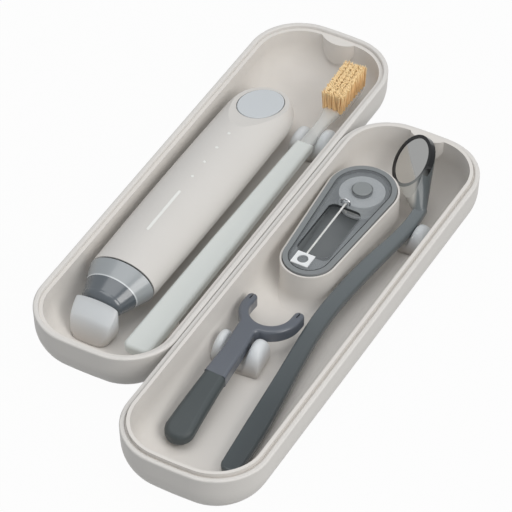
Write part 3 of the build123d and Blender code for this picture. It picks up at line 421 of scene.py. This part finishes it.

# %% Dispenser's cover: painted shade on its cut edges, where light leaves the plate elsewhere
face_upright = 0.9  # height of a normal from which a surface counts as a face
edge_upright = 0.6  # and below which it counts as an edge
tree = clear_cover.node_tree
normal = add_node(tree, "ShaderNodeNewGeometry").outputs["Normal"]
upright = add_node(tree, "ShaderNodeSeparateXYZ", {0: normal}).outputs["Z"]
steep = add_node(tree, "ShaderNodeMath", {0: upright}, operation="ABSOLUTE")
edge = add_node(
    tree,
    "ShaderNodeMapRange",
    {"Value": steep.outputs[0], "From Min": face_upright, "From Max": edge_upright},
)
# painted shade on steep faces of the clear plate
blend(clear_cover, edge.outputs[0], "2C2F31", Alpha=0.95)
print("finishes that change along a piece:", len(changed_finishes))

# %% [markdown]
# ## Dressing the solids
# A solid whose shape is right keeps its mesh and only takes a new material. The table goes by
# finish, so that pieces of one material read as one batch of plastic or metal.

# %% Materials on the frame's own pieces
dress = {
    case_abs: ["lid_shell", "base_shell"],
    liner_pp: ["lid_liner", "base_liner"],
    magnet_nickel: ["lid_magnet", "base_magnet"],
    handle_lacquer: ["handle_shell"],
    button_silicone: ["power_button"],
    light_pipe: ["indicator_lights", "light_bar"],
    seal_rubber: ["seam_seal", "shaft_seal"],
    chassis_nylon: ["front_bulkhead", "chassis", "button_switch"],
    collar_grey: ["collar_ring"],
    nose_smoke: ["nose_cap"],
    motor_steel: ["drive_motor", "drive_shaft"],
    cell_sleeve: ["battery_cell"],
    board_laminate: ["circuit_board"],
    brush_satin: ["brush_handle"],
    grip_tpe: ["flosser_handle"],
    slate_satin: ["flosser_head"],
    smoke_body: ["dispenser_body"],
    clear_cover: ["dispenser_cover"],
    spool_white: ["floss_spool"],
    knob_grey: ["spool_knob"],
    bright_steel: ["guide_hook"],
    cutter_satin: ["cutter_plate"],
    mirror_smoke: ["mirror_grip"],
    ring_black: ["mirror_bezel"],
    mirror_silver: ["mirror_glass"],
}
for material, names in dress.items():
    for name in names:
        nodes[name].data.materials.clear()
        nodes[name].data.materials.append(material)
print("dressed:", sum(len(names) for names in dress.values()))


# %% [markdown]
# ## Lofting a smooth piece from rings
# A rest or a neck could be a box with its edges rounded, but its section changes along the way.
# So it is drawn as closed rings of points, one behind the other, joined into a skin and closed
# at both ends. A Subdivision Surface then rounds it, as a polished mould would. The rings are
# coarse on purpose: the fewer the points, the calmer the surface.

# %% Helper that joins rings
smooth_levels = 3


def skin(name, rings, material, sharp=0.0):
    """Subdivided mesh through closed rings, closed at both ends. Sharp creases the last ring."""
    count = len(rings[0])
    faces = []
    for row in range(len(rings) - 1):
        for k in range(count):
            here = row * count + k
            beside = row * count + (k + 1) % count
            faces.append((here, beside, beside + count, here + count))
    faces.append(tuple(range(count)))
    faces.append(tuple(range((len(rings) - 1) * count, len(rings) * count)))
    mesh = bpy.data.meshes.new(name)
    mesh.from_pydata([point for ring in rings for point in ring], [], faces)
    shape = bmesh.new()
    shape.from_mesh(mesh)
    bmesh.ops.recalc_face_normals(shape, faces=shape.faces)
    crease = shape.edges.layers.float.new("crease_edge")
    last = (len(rings) - 1) * count
    for edge in shape.edges:
        if min(vert.index for vert in edge.verts) >= last:
            edge[crease] = sharp
    shape.to_mesh(mesh)
    shape.free()
    mesh.polygons.foreach_set("use_smooth", [True] * len(mesh.polygons))
    mesh.materials.append(material)
    piece = bpy.data.objects.new(name, mesh)
    bpy.context.scene.collection.objects.link(piece)
    smooth = piece.modifiers.new("smooth", "SUBSURF")
    smooth.levels = smooth_levels
    smooth.render_levels = smooth_levels
    return piece


# %% [markdown]
# ## Silicone rests and clips
# The soft rests stand on the liner's floor, whose edges curve up into the walls. Instead of
# working out that curve again, a ray is dropped onto the liner to find the height under each
# foot point. The brush's and the flosser's clips are feet with two rounded ears and a groove
# between them for the tool. The mirror's is a low foot with one ear beside the bar.


# %% Height of a liner under a point
def surface_of(node):
    """Search tree of a frame node's triangles."""
    mesh = nodes[node].data
    return BVHTree.FromPolygons([v.co for v in mesh.vertices], [p.vertices for p in mesh.polygons])


liners = {"lid_liner": surface_of("lid_liner"), "base_liner": surface_of("base_liner")}


def foot_height(liner, x, y, seen_from):
    """Height of the liner's inside under (x, y), seen from a height."""
    hit = liners[liner].ray_cast(Vector((x, y, seen_from)), Vector((0, 0, -1)))[0]
    return hit.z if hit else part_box(liner)[0].z


# %% Builder for a soft rest
rests = []


def soft_rest(name, node, liner, profile, rise, body, grow=(1, 1, 1), turn=0.0, sharp=0.0):
    """Soft piece in a node's box: profile in shares of half width and height, rise along it."""
    low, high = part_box(node)
    middle = (low + high) / 2
    half_width = (high.x - low.x) / 2 * grow[0]
    half_length = (high.y - low.y) / 2 * grow[1]
    height = (high.z - low.z) * grow[2]
    rings = []
    for along, lift, narrow in rise:
        ring = []
        for across, up in profile:
            aside = Vector((half_width * across * narrow, half_length * along, 0))
            place = Matrix.Rotation(math.radians(turn), 3, "Z") @ aside
            place += Vector((middle.x, middle.y, 0))
            foot = foot_height(liner, place.x, place.y, high.z)
            ring.append((place.x, place.y, max(low.z + height * up * lift, foot)))
        rings.append(ring)
    piece = skin(name, rings, rest_silicone, sharp=sharp)
    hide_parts(node)
    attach(piece, body)
    rests.append(piece)


# %% Rest in front of the nose cap
# Its flat back stands against the cap, and its top falls in a curve to the front
crown = [
    (-1.0, 0.0), (-1.0, 0.4), (-1.0, 0.8), (-0.985, 0.88), (-0.88, 0.93), (-0.5, 0.98),
    (0.0, 1.0), (0.5, 0.98), (0.88, 0.93), (0.985, 0.88), (1.0, 0.8), (1.0, 0.4), (1.0, 0.0),
    (0.4, 0.0), (-0.4, 0.0),
]
fall_to_front = [
    (-1.0, 0.05, 0.45), (-0.85, 0.12, 0.66), (-0.62, 0.3, 0.82), (-0.45, 0.5, 0.88),
    (-0.3, 0.63, 0.92), (-0.12, 0.7, 0.95), (0.3, 0.82, 0.985), (0.7, 0.93, 1.0),
    (0.97, 0.995, 1.0), (1.0, 1.0, 1.0),
]
soft_rest(
    "silicone_nose_rest", "handle_rest", "lid_liner", crown, fall_to_front, "lid_case", sharp=0.9
)


# %% Clips for toothbrush, flosser and mirror
def eared(groove, groove_floor, left=1.0, reach=1.0):
    """Groove between two ears. Left scales the left ear's height and reach its width."""
    ear = (1 + groove) / 2
    right = [
        (groove * 0.55, groove_floor), (groove, groove_floor + 0.05), (groove, 0.72),
        (groove + 0.06, 0.93), (ear, 1.02), (0.92, 0.93), (1.0, 0.7), (1.0, 0.3), (1.0, 0.0),
        (0.4, 0.0),
    ]
    mirrored = [
        (-(groove + (across - groove) * reach) if across > groove else -across, up * left)
        for across, up in reversed(right)
    ]
    return mirrored + right


arch = [
    (-1.0, 0.2, 0.88), (-0.98, 0.45, 0.96), (-0.82, 0.72, 1.0), (-0.45, 0.93, 1.0),
    (0.0, 1.0, 1.0), (0.5, 0.95, 1.0), (0.82, 0.78, 0.98), (0.98, 0.5, 0.92), (1.0, 0.3, 0.85),
]
soft_rest(
    "silicone_brush_clip", "brush_clip", "lid_liner", eared(0.36, 0.5, 0.72), arch, "lid_case"
)
soft_rest(
    "silicone_flosser_clip",
    "flosser_clip",
    "base_liner",
    eared(0.44, 0.48, 0.95, 0.8),
    arch,
    "base_case",
    grow=(1.03, 1.2, 1.03),
    turn=5.0,
)
beside_bar = [
    (-1.0, 0.0), (-1.0, 0.3), (-0.9, 0.5), (-0.4, 0.5), (-0.1, 0.55), (0.0, 0.75),
    (0.12, 0.95), (0.45, 1.02), (0.8, 0.95), (1.0, 0.7), (1.0, 0.3), (1.0, 0.0), (0.3, 0.0),
]
soft_rest(
    "silicone_mirror_clip", "mirror_clip", "base_liner", beside_bar, arch, "base_case"
)
print("rests and clips:", len(rests))

# %% [markdown]
# ## The clear neck of the toothbrush
# The neck is moulded in clear copolyester: a slim bar that leaves the handle and opens into the
# flat head plate. The solid's edges would catch the light as hard lines, so rings of eight
# points follow its width and thickness from joint to tip, and the skin rounds them.

# %% Brush neck and head plate
neck_low, neck_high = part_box("brush_neck")
neck_x = (neck_low.x + neck_high.x) / 2
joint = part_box("brush_handle")[1].y
head_length = 25.0 * mm
head_start = neck_high.y - head_length
plate_top = neck_high.z
neck_stations = [  # place along the brush, then half width and thickness in millimetres
    (joint - 0.5 * mm, 2.2, 4.0),
    (joint, 3.2, 4.0),
    (joint + 1.5 * mm, 3.0, 4.0),
    (joint + 8.0 * mm, 2.6, 4.0),
    (joint + 15.0 * mm, 2.5, 4.0),
    (head_start - 2.0 * mm, 3.0, 4.2),
    (head_start + 2.5 * mm, 4.7, 4.5),
    (head_start + 7.0 * mm, 5.2, 4.5),
    (neck_high.y - 7.0 * mm, 5.2, 4.5),
    (neck_high.y - 2.5 * mm, 4.7, 4.5),
    (neck_high.y - 0.6 * mm, 3.4, 4.5),
    (neck_high.y, 2.4, 4.5),
]
ring_shares = [  # of the half width and of the thickness
    (-1, 0.3), (-1, 0.75), (-0.7, 1), (0.7, 1), (1, 0.75), (1, 0.3), (0.7, 0), (-0.7, 0),
]
neck = skin(
    "clear_brush_neck",
    [
        [(neck_x + a * half * mm, y, neck_low.z + b * thick * mm) for a, b in ring_shares]
        for y, half, thick in neck_stations
    ],
    neck_clear,
)
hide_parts("brush_neck")
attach(neck, "toothbrush")
print("neck ends at", round(neck_high.y / mm, 1), "mm")


# %% [markdown]
# ## Geometry Nodes: a frame for trees built in the script
# A loop in Python could lay out what repeats, but a node tree keeps its sizes as named inputs
# that can still be turned. Each tree ends in Realize Instances and Set Material, and its result
# is turned into a plain mesh.


# %% Helpers for Geometry Nodes trees
def new_tree(name, sockets):
    """Geometry tree with a Geometry input and output and the named inputs."""
    tree = bpy.data.node_groups.new(name, "GeometryNodeTree")
    tree.interface.new_socket("Geometry", in_out="INPUT", socket_type="NodeSocketGeometry")
    tree.interface.new_socket("Geometry", in_out="OUTPUT", socket_type="NodeSocketGeometry")
    for socket, kind in sockets.items():
        tree.interface.new_socket(socket, in_out="INPUT", socket_type=f"NodeSocket{kind}")
    return tree, tree.nodes.new("NodeGroupInput")


def grown(name, data, tree, values):
    """Runs a tree on an object with these inputs and returns the result as a plain mesh object."""
    seed = bpy.data.objects.new(name + "_seed", data)
    bpy.context.scene.collection.objects.link(seed)
    modifier = seed.modifiers.new("grow", "NODES")
    modifier.node_group = tree
    for socket in tree.interface.items_tree:
        if socket.item_type == "SOCKET" and socket.in_out == "INPUT" and socket.name in values:
            modifier[socket.identifier] = values[socket.name]
    bpy.context.view_layer.update()
    graph = bpy.context.evaluated_depsgraph_get()
    mesh = bpy.data.meshes.new_from_object(seed.evaluated_get(graph), depsgraph=graph)
    mesh.name = name
    bpy.data.objects.remove(seed)
    piece = bpy.data.objects.new(name, mesh)
    bpy.context.scene.collection.objects.link(piece)
    print(name, "faces:", len(mesh.polygons))
    return piece


# %% [markdown]
# ## Bristles
# A toothbrush head holds its bristles in tufts, 4 across and 10 along here. A real tuft has
# some forty filaments of 0.2 mm. These are as many, but drawn nearly twice as thick, because
# thinner ones would vanish in the render. Hair curves would need a surface to grow on and a
# conversion, so the tree does it all: it lays discs on a grid, spreads points evenly on them and
# grows a filament on each. All lean away from the middle of the head, and a little at random.

# %% Tree for tufts
filament_turn = 3.0  # most that a filament turns about itself, in radians
shortest = 0.98  # share of the full length
tuft_tree, given = new_tree(
    "bristle_tufts",
    {
        "Columns": "Int",
        "Rows": "Int",
        "Pitch across": "Float",
        "Pitch along": "Float",
        "Tuft radius": "Float",
        "Filaments per m2": "Float",
        "Filament pitch": "Float",
        "Filament radius": "Float",
        "Length": "Float",
        "Lean": "Float",
        "Splay": "Float",
        "Seed": "Int",
        "Place": "Vector",
        "Material": "Material",
    },
)
count_x = add_node(
    tuft_tree, "ShaderNodeMath", {0: given.outputs["Columns"], 1: 1.0}, operation="SUBTRACT"
)
count_y = add_node(
    tuft_tree, "ShaderNodeMath", {0: given.outputs["Rows"], 1: 1.0}, operation="SUBTRACT"
)
span_x = add_node(
    tuft_tree,
    "ShaderNodeMath",
    {0: count_x.outputs[0], 1: given.outputs["Pitch across"]},
    operation="MULTIPLY",
)
span_y = add_node(
    tuft_tree,
    "ShaderNodeMath",
    {0: count_y.outputs[0], 1: given.outputs["Pitch along"]},
    operation="MULTIPLY",
)
grid = add_node(
    tuft_tree,
    "GeometryNodeMeshGrid",
    {
        "Size X": span_x.outputs[0],
        "Size Y": span_y.outputs[0],
        "Vertices X": given.outputs["Columns"],
        "Vertices Y": given.outputs["Rows"],
    },
)
disc = add_node(
    tuft_tree,
    "GeometryNodeMeshCircle",
    {"Vertices": 10, "Radius": given.outputs["Tuft radius"]},
    fill_type="NGON",
)
discs = add_node(
    tuft_tree,
    "GeometryNodeInstanceOnPoints",
    {"Points": grid.outputs["Mesh"], "Instance": disc.outputs[0]},
)
flat_discs = add_node(tuft_tree, "GeometryNodeRealizeInstances", {0: discs.outputs[0]})
roots = add_node(
    tuft_tree,
    "GeometryNodeDistributePointsOnFaces",
    {
        "Mesh": flat_discs.outputs[0],
        "Distance Min": given.outputs["Filament pitch"],
        "Density Max": given.outputs["Filaments per m2"],
        "Seed": given.outputs["Seed"],
    },
    distribute_method="POISSON",
)
stalk = add_node(
    tuft_tree,
    "GeometryNodeMeshCylinder",
    {
        "Vertices": 5,
        "Side Segments": 2,
        "Radius": given.outputs["Filament radius"],
        "Depth": given.outputs["Length"],
    },
)
half_up = add_node(
    tuft_tree, "ShaderNodeMath", {0: given.outputs["Length"], 1: 0.5}, operation="MULTIPLY"
)
up = add_node(tuft_tree, "ShaderNodeCombineXYZ", {"Z": half_up.outputs[0]})
standing = add_node(
    tuft_tree, "GeometryNodeTransform", {"Geometry": stalk.outputs[0], "Translation": up.outputs[0]}
)
lean_back = add_node(
    tuft_tree, "ShaderNodeMath", {0: given.outputs["Lean"], 1: -1.0}, operation="MULTIPLY"
)
lean_low = add_node(
    tuft_tree, "ShaderNodeCombineXYZ", {"X": lean_back.outputs[0], "Y": lean_back.outputs[0]}
)
lean_high = add_node(
    tuft_tree,
    "ShaderNodeCombineXYZ",
    {"X": given.outputs["Lean"], "Y": given.outputs["Lean"], "Z": filament_turn},
)
at_random = add_node(
    tuft_tree,
    "FunctionNodeRandomValue",
    {"Min": lean_low.outputs[0], "Max": lean_high.outputs[0], "Seed": given.outputs["Seed"]},
    data_type="FLOAT_VECTOR",
)
root = add_node(tuft_tree, "GeometryNodeInputPosition")
sides = add_node(tuft_tree, "ShaderNodeSeparateXYZ", {0: root.outputs[0]})
tip_back = add_node(
    tuft_tree,
    "ShaderNodeMath",
    {0: sides.outputs["Y"], 1: given.outputs["Splay"]},
    operation="MULTIPLY",
)
tip_side = add_node(
    tuft_tree,
    "ShaderNodeMath",
    {0: sides.outputs["X"], 1: given.outputs["Splay"]},
    operation="MULTIPLY",
)
away = add_node(
    tuft_tree, "ShaderNodeMath", {0: tip_back.outputs[0], 1: -1.0}, operation="MULTIPLY"
)
outward = add_node(
    tuft_tree, "ShaderNodeCombineXYZ", {"X": away.outputs[0], "Y": tip_side.outputs[0]}
)
turn = add_node(
    tuft_tree,
    "ShaderNodeVectorMath",
    {0: at_random.outputs[0], 1: outward.outputs[0]},
    operation="ADD",
)
size = add_node(
    tuft_tree,
    "FunctionNodeRandomValue",
    {0: (1, 1, shortest), 1: (1, 1, 1), "Seed": given.outputs["Seed"]},
    data_type="FLOAT_VECTOR",
)
stalks = add_node(
    tuft_tree,
    "GeometryNodeInstanceOnPoints",
    {
        "Points": roots.outputs["Points"],
        "Instance": standing.outputs[0],
        "Rotation": turn.outputs[0],
        "Scale": size.outputs[0],
    },
)
field = add_node(tuft_tree, "GeometryNodeRealizeInstances", {0: stalks.outputs[0]})
placed = add_node(
    tuft_tree,
    "GeometryNodeTransform",
    {"Geometry": field.outputs[0], "Translation": given.outputs["Place"]},
)
coloured = add_node(
    tuft_tree,
    "GeometryNodeSetMaterial",
    {"Geometry": placed.outputs[0], "Material": given.outputs["Material"]},
)
add_node(tuft_tree, "NodeGroupOutput", {0: coloured.outputs[0]})

# %% Bristles on the head plate
tuft_low, tuft_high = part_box("bristle_tufts")
tuft_radius = 1.1 * mm
sunk = 1.5 * mm  # depth of the roots in the head plate
below_top = 1.2 * mm  # how far the tips stay under the top of the solid
plate_margin = 0.5 * mm
columns = 4
rows = 10
filament_radius = 0.19 * mm
filament_pitch = 0.23 * mm
filaments_per_m2 = 9e7  # more than the pitch leaves room for, so the pitch decides
lean = 0.02  # at random, in radians
splay = 9.0  # away from the middle of the head, in radians per metre
field_width = neck_high.x - neck_low.x - 2 * plate_margin
field_length = tuft_high.y - tuft_low.y + plate_margin
bristles = grown(
    "nylon_bristles",
    bpy.data.meshes.new("bristle_seed"),
    tuft_tree,
    {
        "Columns": columns,
        "Rows": rows,
        "Pitch across": (field_width - 2 * tuft_radius) / (columns - 1),
        "Pitch along": (field_length - 2 * tuft_radius) / (rows - 1),
        "Tuft radius": tuft_radius,
        "Filaments per m2": filaments_per_m2,
        "Filament pitch": filament_pitch,
        "Filament radius": filament_radius,
        "Length": tuft_high.z - below_top - plate_top + sunk,
        "Lean": lean,
        "Splay": splay,
        "Seed": 4,
        "Place": (
            (tuft_low.x + tuft_high.x) / 2,
            (tuft_low.y + tuft_high.y) / 2,
            plate_top - sunk,
        ),
        "Material": bristle_nylon,
    },
)
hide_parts("bristle_tufts")
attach(bristles, "toothbrush")

# %% [markdown]
# ## Wound thread and wire
# Floss on its spool and wire in the charging coil are both a helix, so one tree makes both: a
# spiral curve with named radius, height and turns, given thickness by a round profile. A Screw
# modifier would do for one of them, but its turns would have to be set by hand.

# %% Tree for a winding
wind_tree, given = new_tree(
    "winding",
    {
        "Radius": "Float",
        "Height": "Float",
        "Turns": "Float",
        "Wire radius": "Float",
        "Place": "Vector",
        "Material": "Material",
    },
)
spiral = add_node(
    wind_tree,
    "GeometryNodeCurveSpiral",
    {
        "Resolution": 40,
        "Rotations": given.outputs["Turns"],
        "Start Radius": given.outputs["Radius"],
        "End Radius": given.outputs["Radius"],
        "Height": given.outputs["Height"],
    },
)
section = add_node(
    wind_tree,
    "GeometryNodeCurvePrimitiveCircle",
    {"Resolution": 8, "Radius": given.outputs["Wire radius"]},
)
wound = add_node(
    wind_tree,
    "GeometryNodeCurveToMesh",
    {"Curve": spiral.outputs[0], "Profile Curve": section.outputs[0], "Fill Caps": True},
)
smooth = add_node(wind_tree, "GeometryNodeSetShadeSmooth", {0: wound.outputs[0]})
placed = add_node(
    wind_tree,
    "GeometryNodeTransform",
    {"Geometry": smooth.outputs[0], "Translation": given.outputs["Place"]},
)
real = add_node(wind_tree, "GeometryNodeRealizeInstances", {0: placed.outputs[0]})
coloured = add_node(
    wind_tree,
    "GeometryNodeSetMaterial",
    {"Geometry": real.outputs[0], "Material": given.outputs["Material"]},
)
add_node(wind_tree, "NodeGroupOutput", {0: coloured.outputs[0]})


# %% Floss on the spool and wire in the coil
def winding(name, node, body, wire_radius, material):
    """Helix that fills a node's box, with its turns side by side."""
    low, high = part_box(node)
    height = high.z - low.z - 2 * wire_radius
    piece = grown(
        name,
        bpy.data.meshes.new(name),
        wind_tree,
        {
            "Radius": (high.x - low.x) / 2 - wire_radius,
            "Height": height,
            "Turns": height / (2 * wire_radius),
            "Wire radius": wire_radius,
            "Place": ((low.x + high.x) / 2, (low.y + high.y) / 2, low.z + wire_radius),
            "Material": material,
        },
    )
    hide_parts(node)
    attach(piece, body)


wound_radius = 0.42 * mm
coil_radius = 0.3 * mm
winding("wound_floss", "floss_winding", "spool", wound_radius, floss_white)
winding("wound_coil", "charging_coil", "powered_handle", coil_radius, coil_copper)

# %% [markdown]
# ## The strand of floss
# The strand runs inside the cover to the wire guide, comes up through its hole there and passes
# over the window to the cutter. Its three twisted plies could be three curves wound round each
# other. At this size they read as one three-lobed section that turns along the path: a star
# profile, with a tilt that grows with the length.

# %% Tree for twisted thread
strand_steps = 160
groove_share = 0.62  # radius at the bottom of the grooves between plies, to the strand's own
twist_tree, given = new_tree(
    "twisted_thread",
    {"Radius": "Float", "Twist length": "Float", "Material": "Material"},
)
even = add_node(
    twist_tree,
    "GeometryNodeResampleCurve",
    {"Curve": given.outputs["Geometry"], "Count": strand_steps},
)
along = add_node(twist_tree, "GeometryNodeSplineParameter")
turns = add_node(
    twist_tree,
    "ShaderNodeMath",
    {0: along.outputs["Length"], 1: given.outputs["Twist length"]},
    operation="DIVIDE",
)
angle = add_node(
    twist_tree, "ShaderNodeMath", {0: turns.outputs[0], 1: 2 * math.pi}, operation="MULTIPLY"
)
tilted = add_node(
    twist_tree, "GeometryNodeSetCurveTilt", {"Curve": even.outputs[0], "Tilt": angle.outputs[0]}
)
inner = add_node(
    twist_tree,
    "ShaderNodeMath",
    {0: given.outputs["Radius"], 1: groove_share},
    operation="MULTIPLY",
)
plies = add_node(
    twist_tree,
    "GeometryNodeCurveStar",
    {"Points": 3, "Inner Radius": inner.outputs[0], "Outer Radius": given.outputs["Radius"]},
)
thread = add_node(
    twist_tree,
    "GeometryNodeCurveToMesh",
    {"Curve": tilted.outputs[0], "Profile Curve": plies.outputs[0], "Fill Caps": True},
)
real = add_node(twist_tree, "GeometryNodeRealizeInstances", {0: thread.outputs[0]})
coloured = add_node(
    twist_tree,
    "GeometryNodeSetMaterial",
    {"Geometry": real.outputs[0], "Material": given.outputs["Material"]},
)
add_node(twist_tree, "NodeGroupOutput", {0: coloured.outputs[0]})

# %% Strand from the spool to the cutter
strand_low, strand_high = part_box("floss_strand")
hook_low, hook_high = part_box("guide_hook")
hook_x = (hook_low.x + hook_high.x) / 2
hook_y = (hook_low.y + hook_high.y) / 2
floss_radius = 0.52 * mm
twist_length = 2.4 * mm
top = strand_high.z - floss_radius
plate_low, plate_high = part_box("cutter_plate")
deep = strand_low.z + floss_radius
route = [
    (strand_low.x + floss_radius, strand_high.y - floss_radius, deep),
    (hook_x, hook_y, deep),
    (hook_x, hook_y, top),
    ((plate_low.x + plate_high.x) / 2, plate_high.y, top),
]
line = bpy.data.curves.new("strand_line", "CURVE")
line.dimensions = "3D"
spline = line.splines.new("POLY")
spline.points.add(len(route) - 1)
for point, place in zip(spline.points, route):
    point.co = (*place, 1.0)
strand = grown(
    "twisted_floss",
    line,
    twist_tree,
    {"Radius": floss_radius, "Twist length": twist_length, "Material": floss_white},
)
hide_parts("floss_strand")
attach(strand, "dispenser")

# %% [markdown]
# ## Studio
# A white floor without an edge, a soft key lamp from the right, a little to the front and above,
# a wider and weaker one from overhead, and an even sky. A brighter floor would light the object
# from below, so the floor looks white only to the camera, in reflections and through clear
# plastic, by Light Path, and still takes the shadow.

# %% Floor
reach = 6.0  # of the floor, from the middle to each side, in metres
white_share = 0.97  # the rest of the floor's tone is the lit paper with the shadow
floor_mesh = bpy.data.meshes.new("studio_floor")
floor_mesh.from_pydata(
    [(-reach, -reach, 0), (reach, -reach, 0), (reach, reach, 0), (-reach, reach, 0)],
    [],
    [(0, 1, 2, 3)],
)
floor = bpy.data.objects.new("studio_floor", floor_mesh)
bpy.context.scene.collection.objects.link(floor)
paper = bpy.data.materials.new("white_paper_sweep")
paper.use_nodes = True
tree = paper.node_tree
tree.nodes.clear()
rays = add_node(tree, "ShaderNodeLightPath")
seen = add_node(
    tree,
    "ShaderNodeMath",
    {0: rays.outputs["Is Camera Ray"], 1: rays.outputs["Is Glossy Ray"]},
    operation="MAXIMUM",
)
seen = add_node(
    tree,
    "ShaderNodeMath",
    {0: seen.outputs[0], 1: rays.outputs["Is Transmission Ray"]},
    operation="MAXIMUM",
)
share = add_node(
    tree, "ShaderNodeMath", {0: seen.outputs[0], 1: white_share}, operation="MULTIPLY"
)
matt = add_node(tree, "ShaderNodeBsdfDiffuse", {"Color": linear("A2A2A1")})
glow = add_node(tree, "ShaderNodeEmission", {"Color": (1, 1, 1, 1), "Strength": 1.0})
mixed = add_node(
    tree, "ShaderNodeMixShader", {0: share.outputs[0], 1: matt.outputs[0], 2: glow.outputs[0]}
)
add_node(tree, "ShaderNodeOutputMaterial", {"Surface": mixed.outputs[0]})
floor_mesh.materials.append(paper)

# %% Sky
world = bpy.data.worlds.new("studio")
world.use_nodes = True
bpy.context.scene.world = world
tree = world.node_tree
tree.nodes.clear()
sky = add_node(tree, "ShaderNodeBackground", {"Color": linear("F3F5F7"), "Strength": 0.6})
add_node(tree, "ShaderNodeOutputWorld", {"Surface": sky.outputs[0]})


# %% Lamps
def lamp(name, place, aim, size, power, colour="FFFFFF"):
    """Square soft lamp at a place, turned to its aim, power in watts."""
    light = bpy.data.lights.new(name, "AREA")
    light.size = size
    light.energy = power
    light.color = linear(colour)[:3]
    holder = bpy.data.objects.new(name, light)
    holder.location = place
    holder.rotation_euler = (Vector(aim) - Vector(place)).to_track_quat("-Z", "Y").to_euler()
    bpy.context.scene.collection.objects.link(holder)


middle = (0, 0, 0.02)
lamp("key", (1.15, -0.25, 0.85), middle, 0.9, 8.8, "FFFDFA")
lamp("top", (-0.1, 0.1, 1.5), middle, 1.2, 6.0)

# %% [markdown]
# ## Camera
# A long lens from the front right, 43 degrees above the table, as in a catalogue. A short lens
# from nearby would make the near end look larger. With a long one from further off, the case
# fills the frame and its edges stay nearly parallel.

# %% Camera
camera_data = bpy.data.cameras.new("portrait")
camera_data.lens = 251.6
camera_data.sensor_width = 36.0
camera = bpy.data.objects.new("portrait", camera_data)
camera.location = (0.5119, -0.9232, 1.0142)
view_to = Vector((0.00393, -0.01094, 0.024))
camera.rotation_euler = (view_to - camera.location).to_track_quat("-Z", "Y").to_euler()
bpy.context.scene.collection.objects.link(camera)
bpy.context.scene.camera = camera
bpy.context.scene.view_settings.view_transform = "Standard"
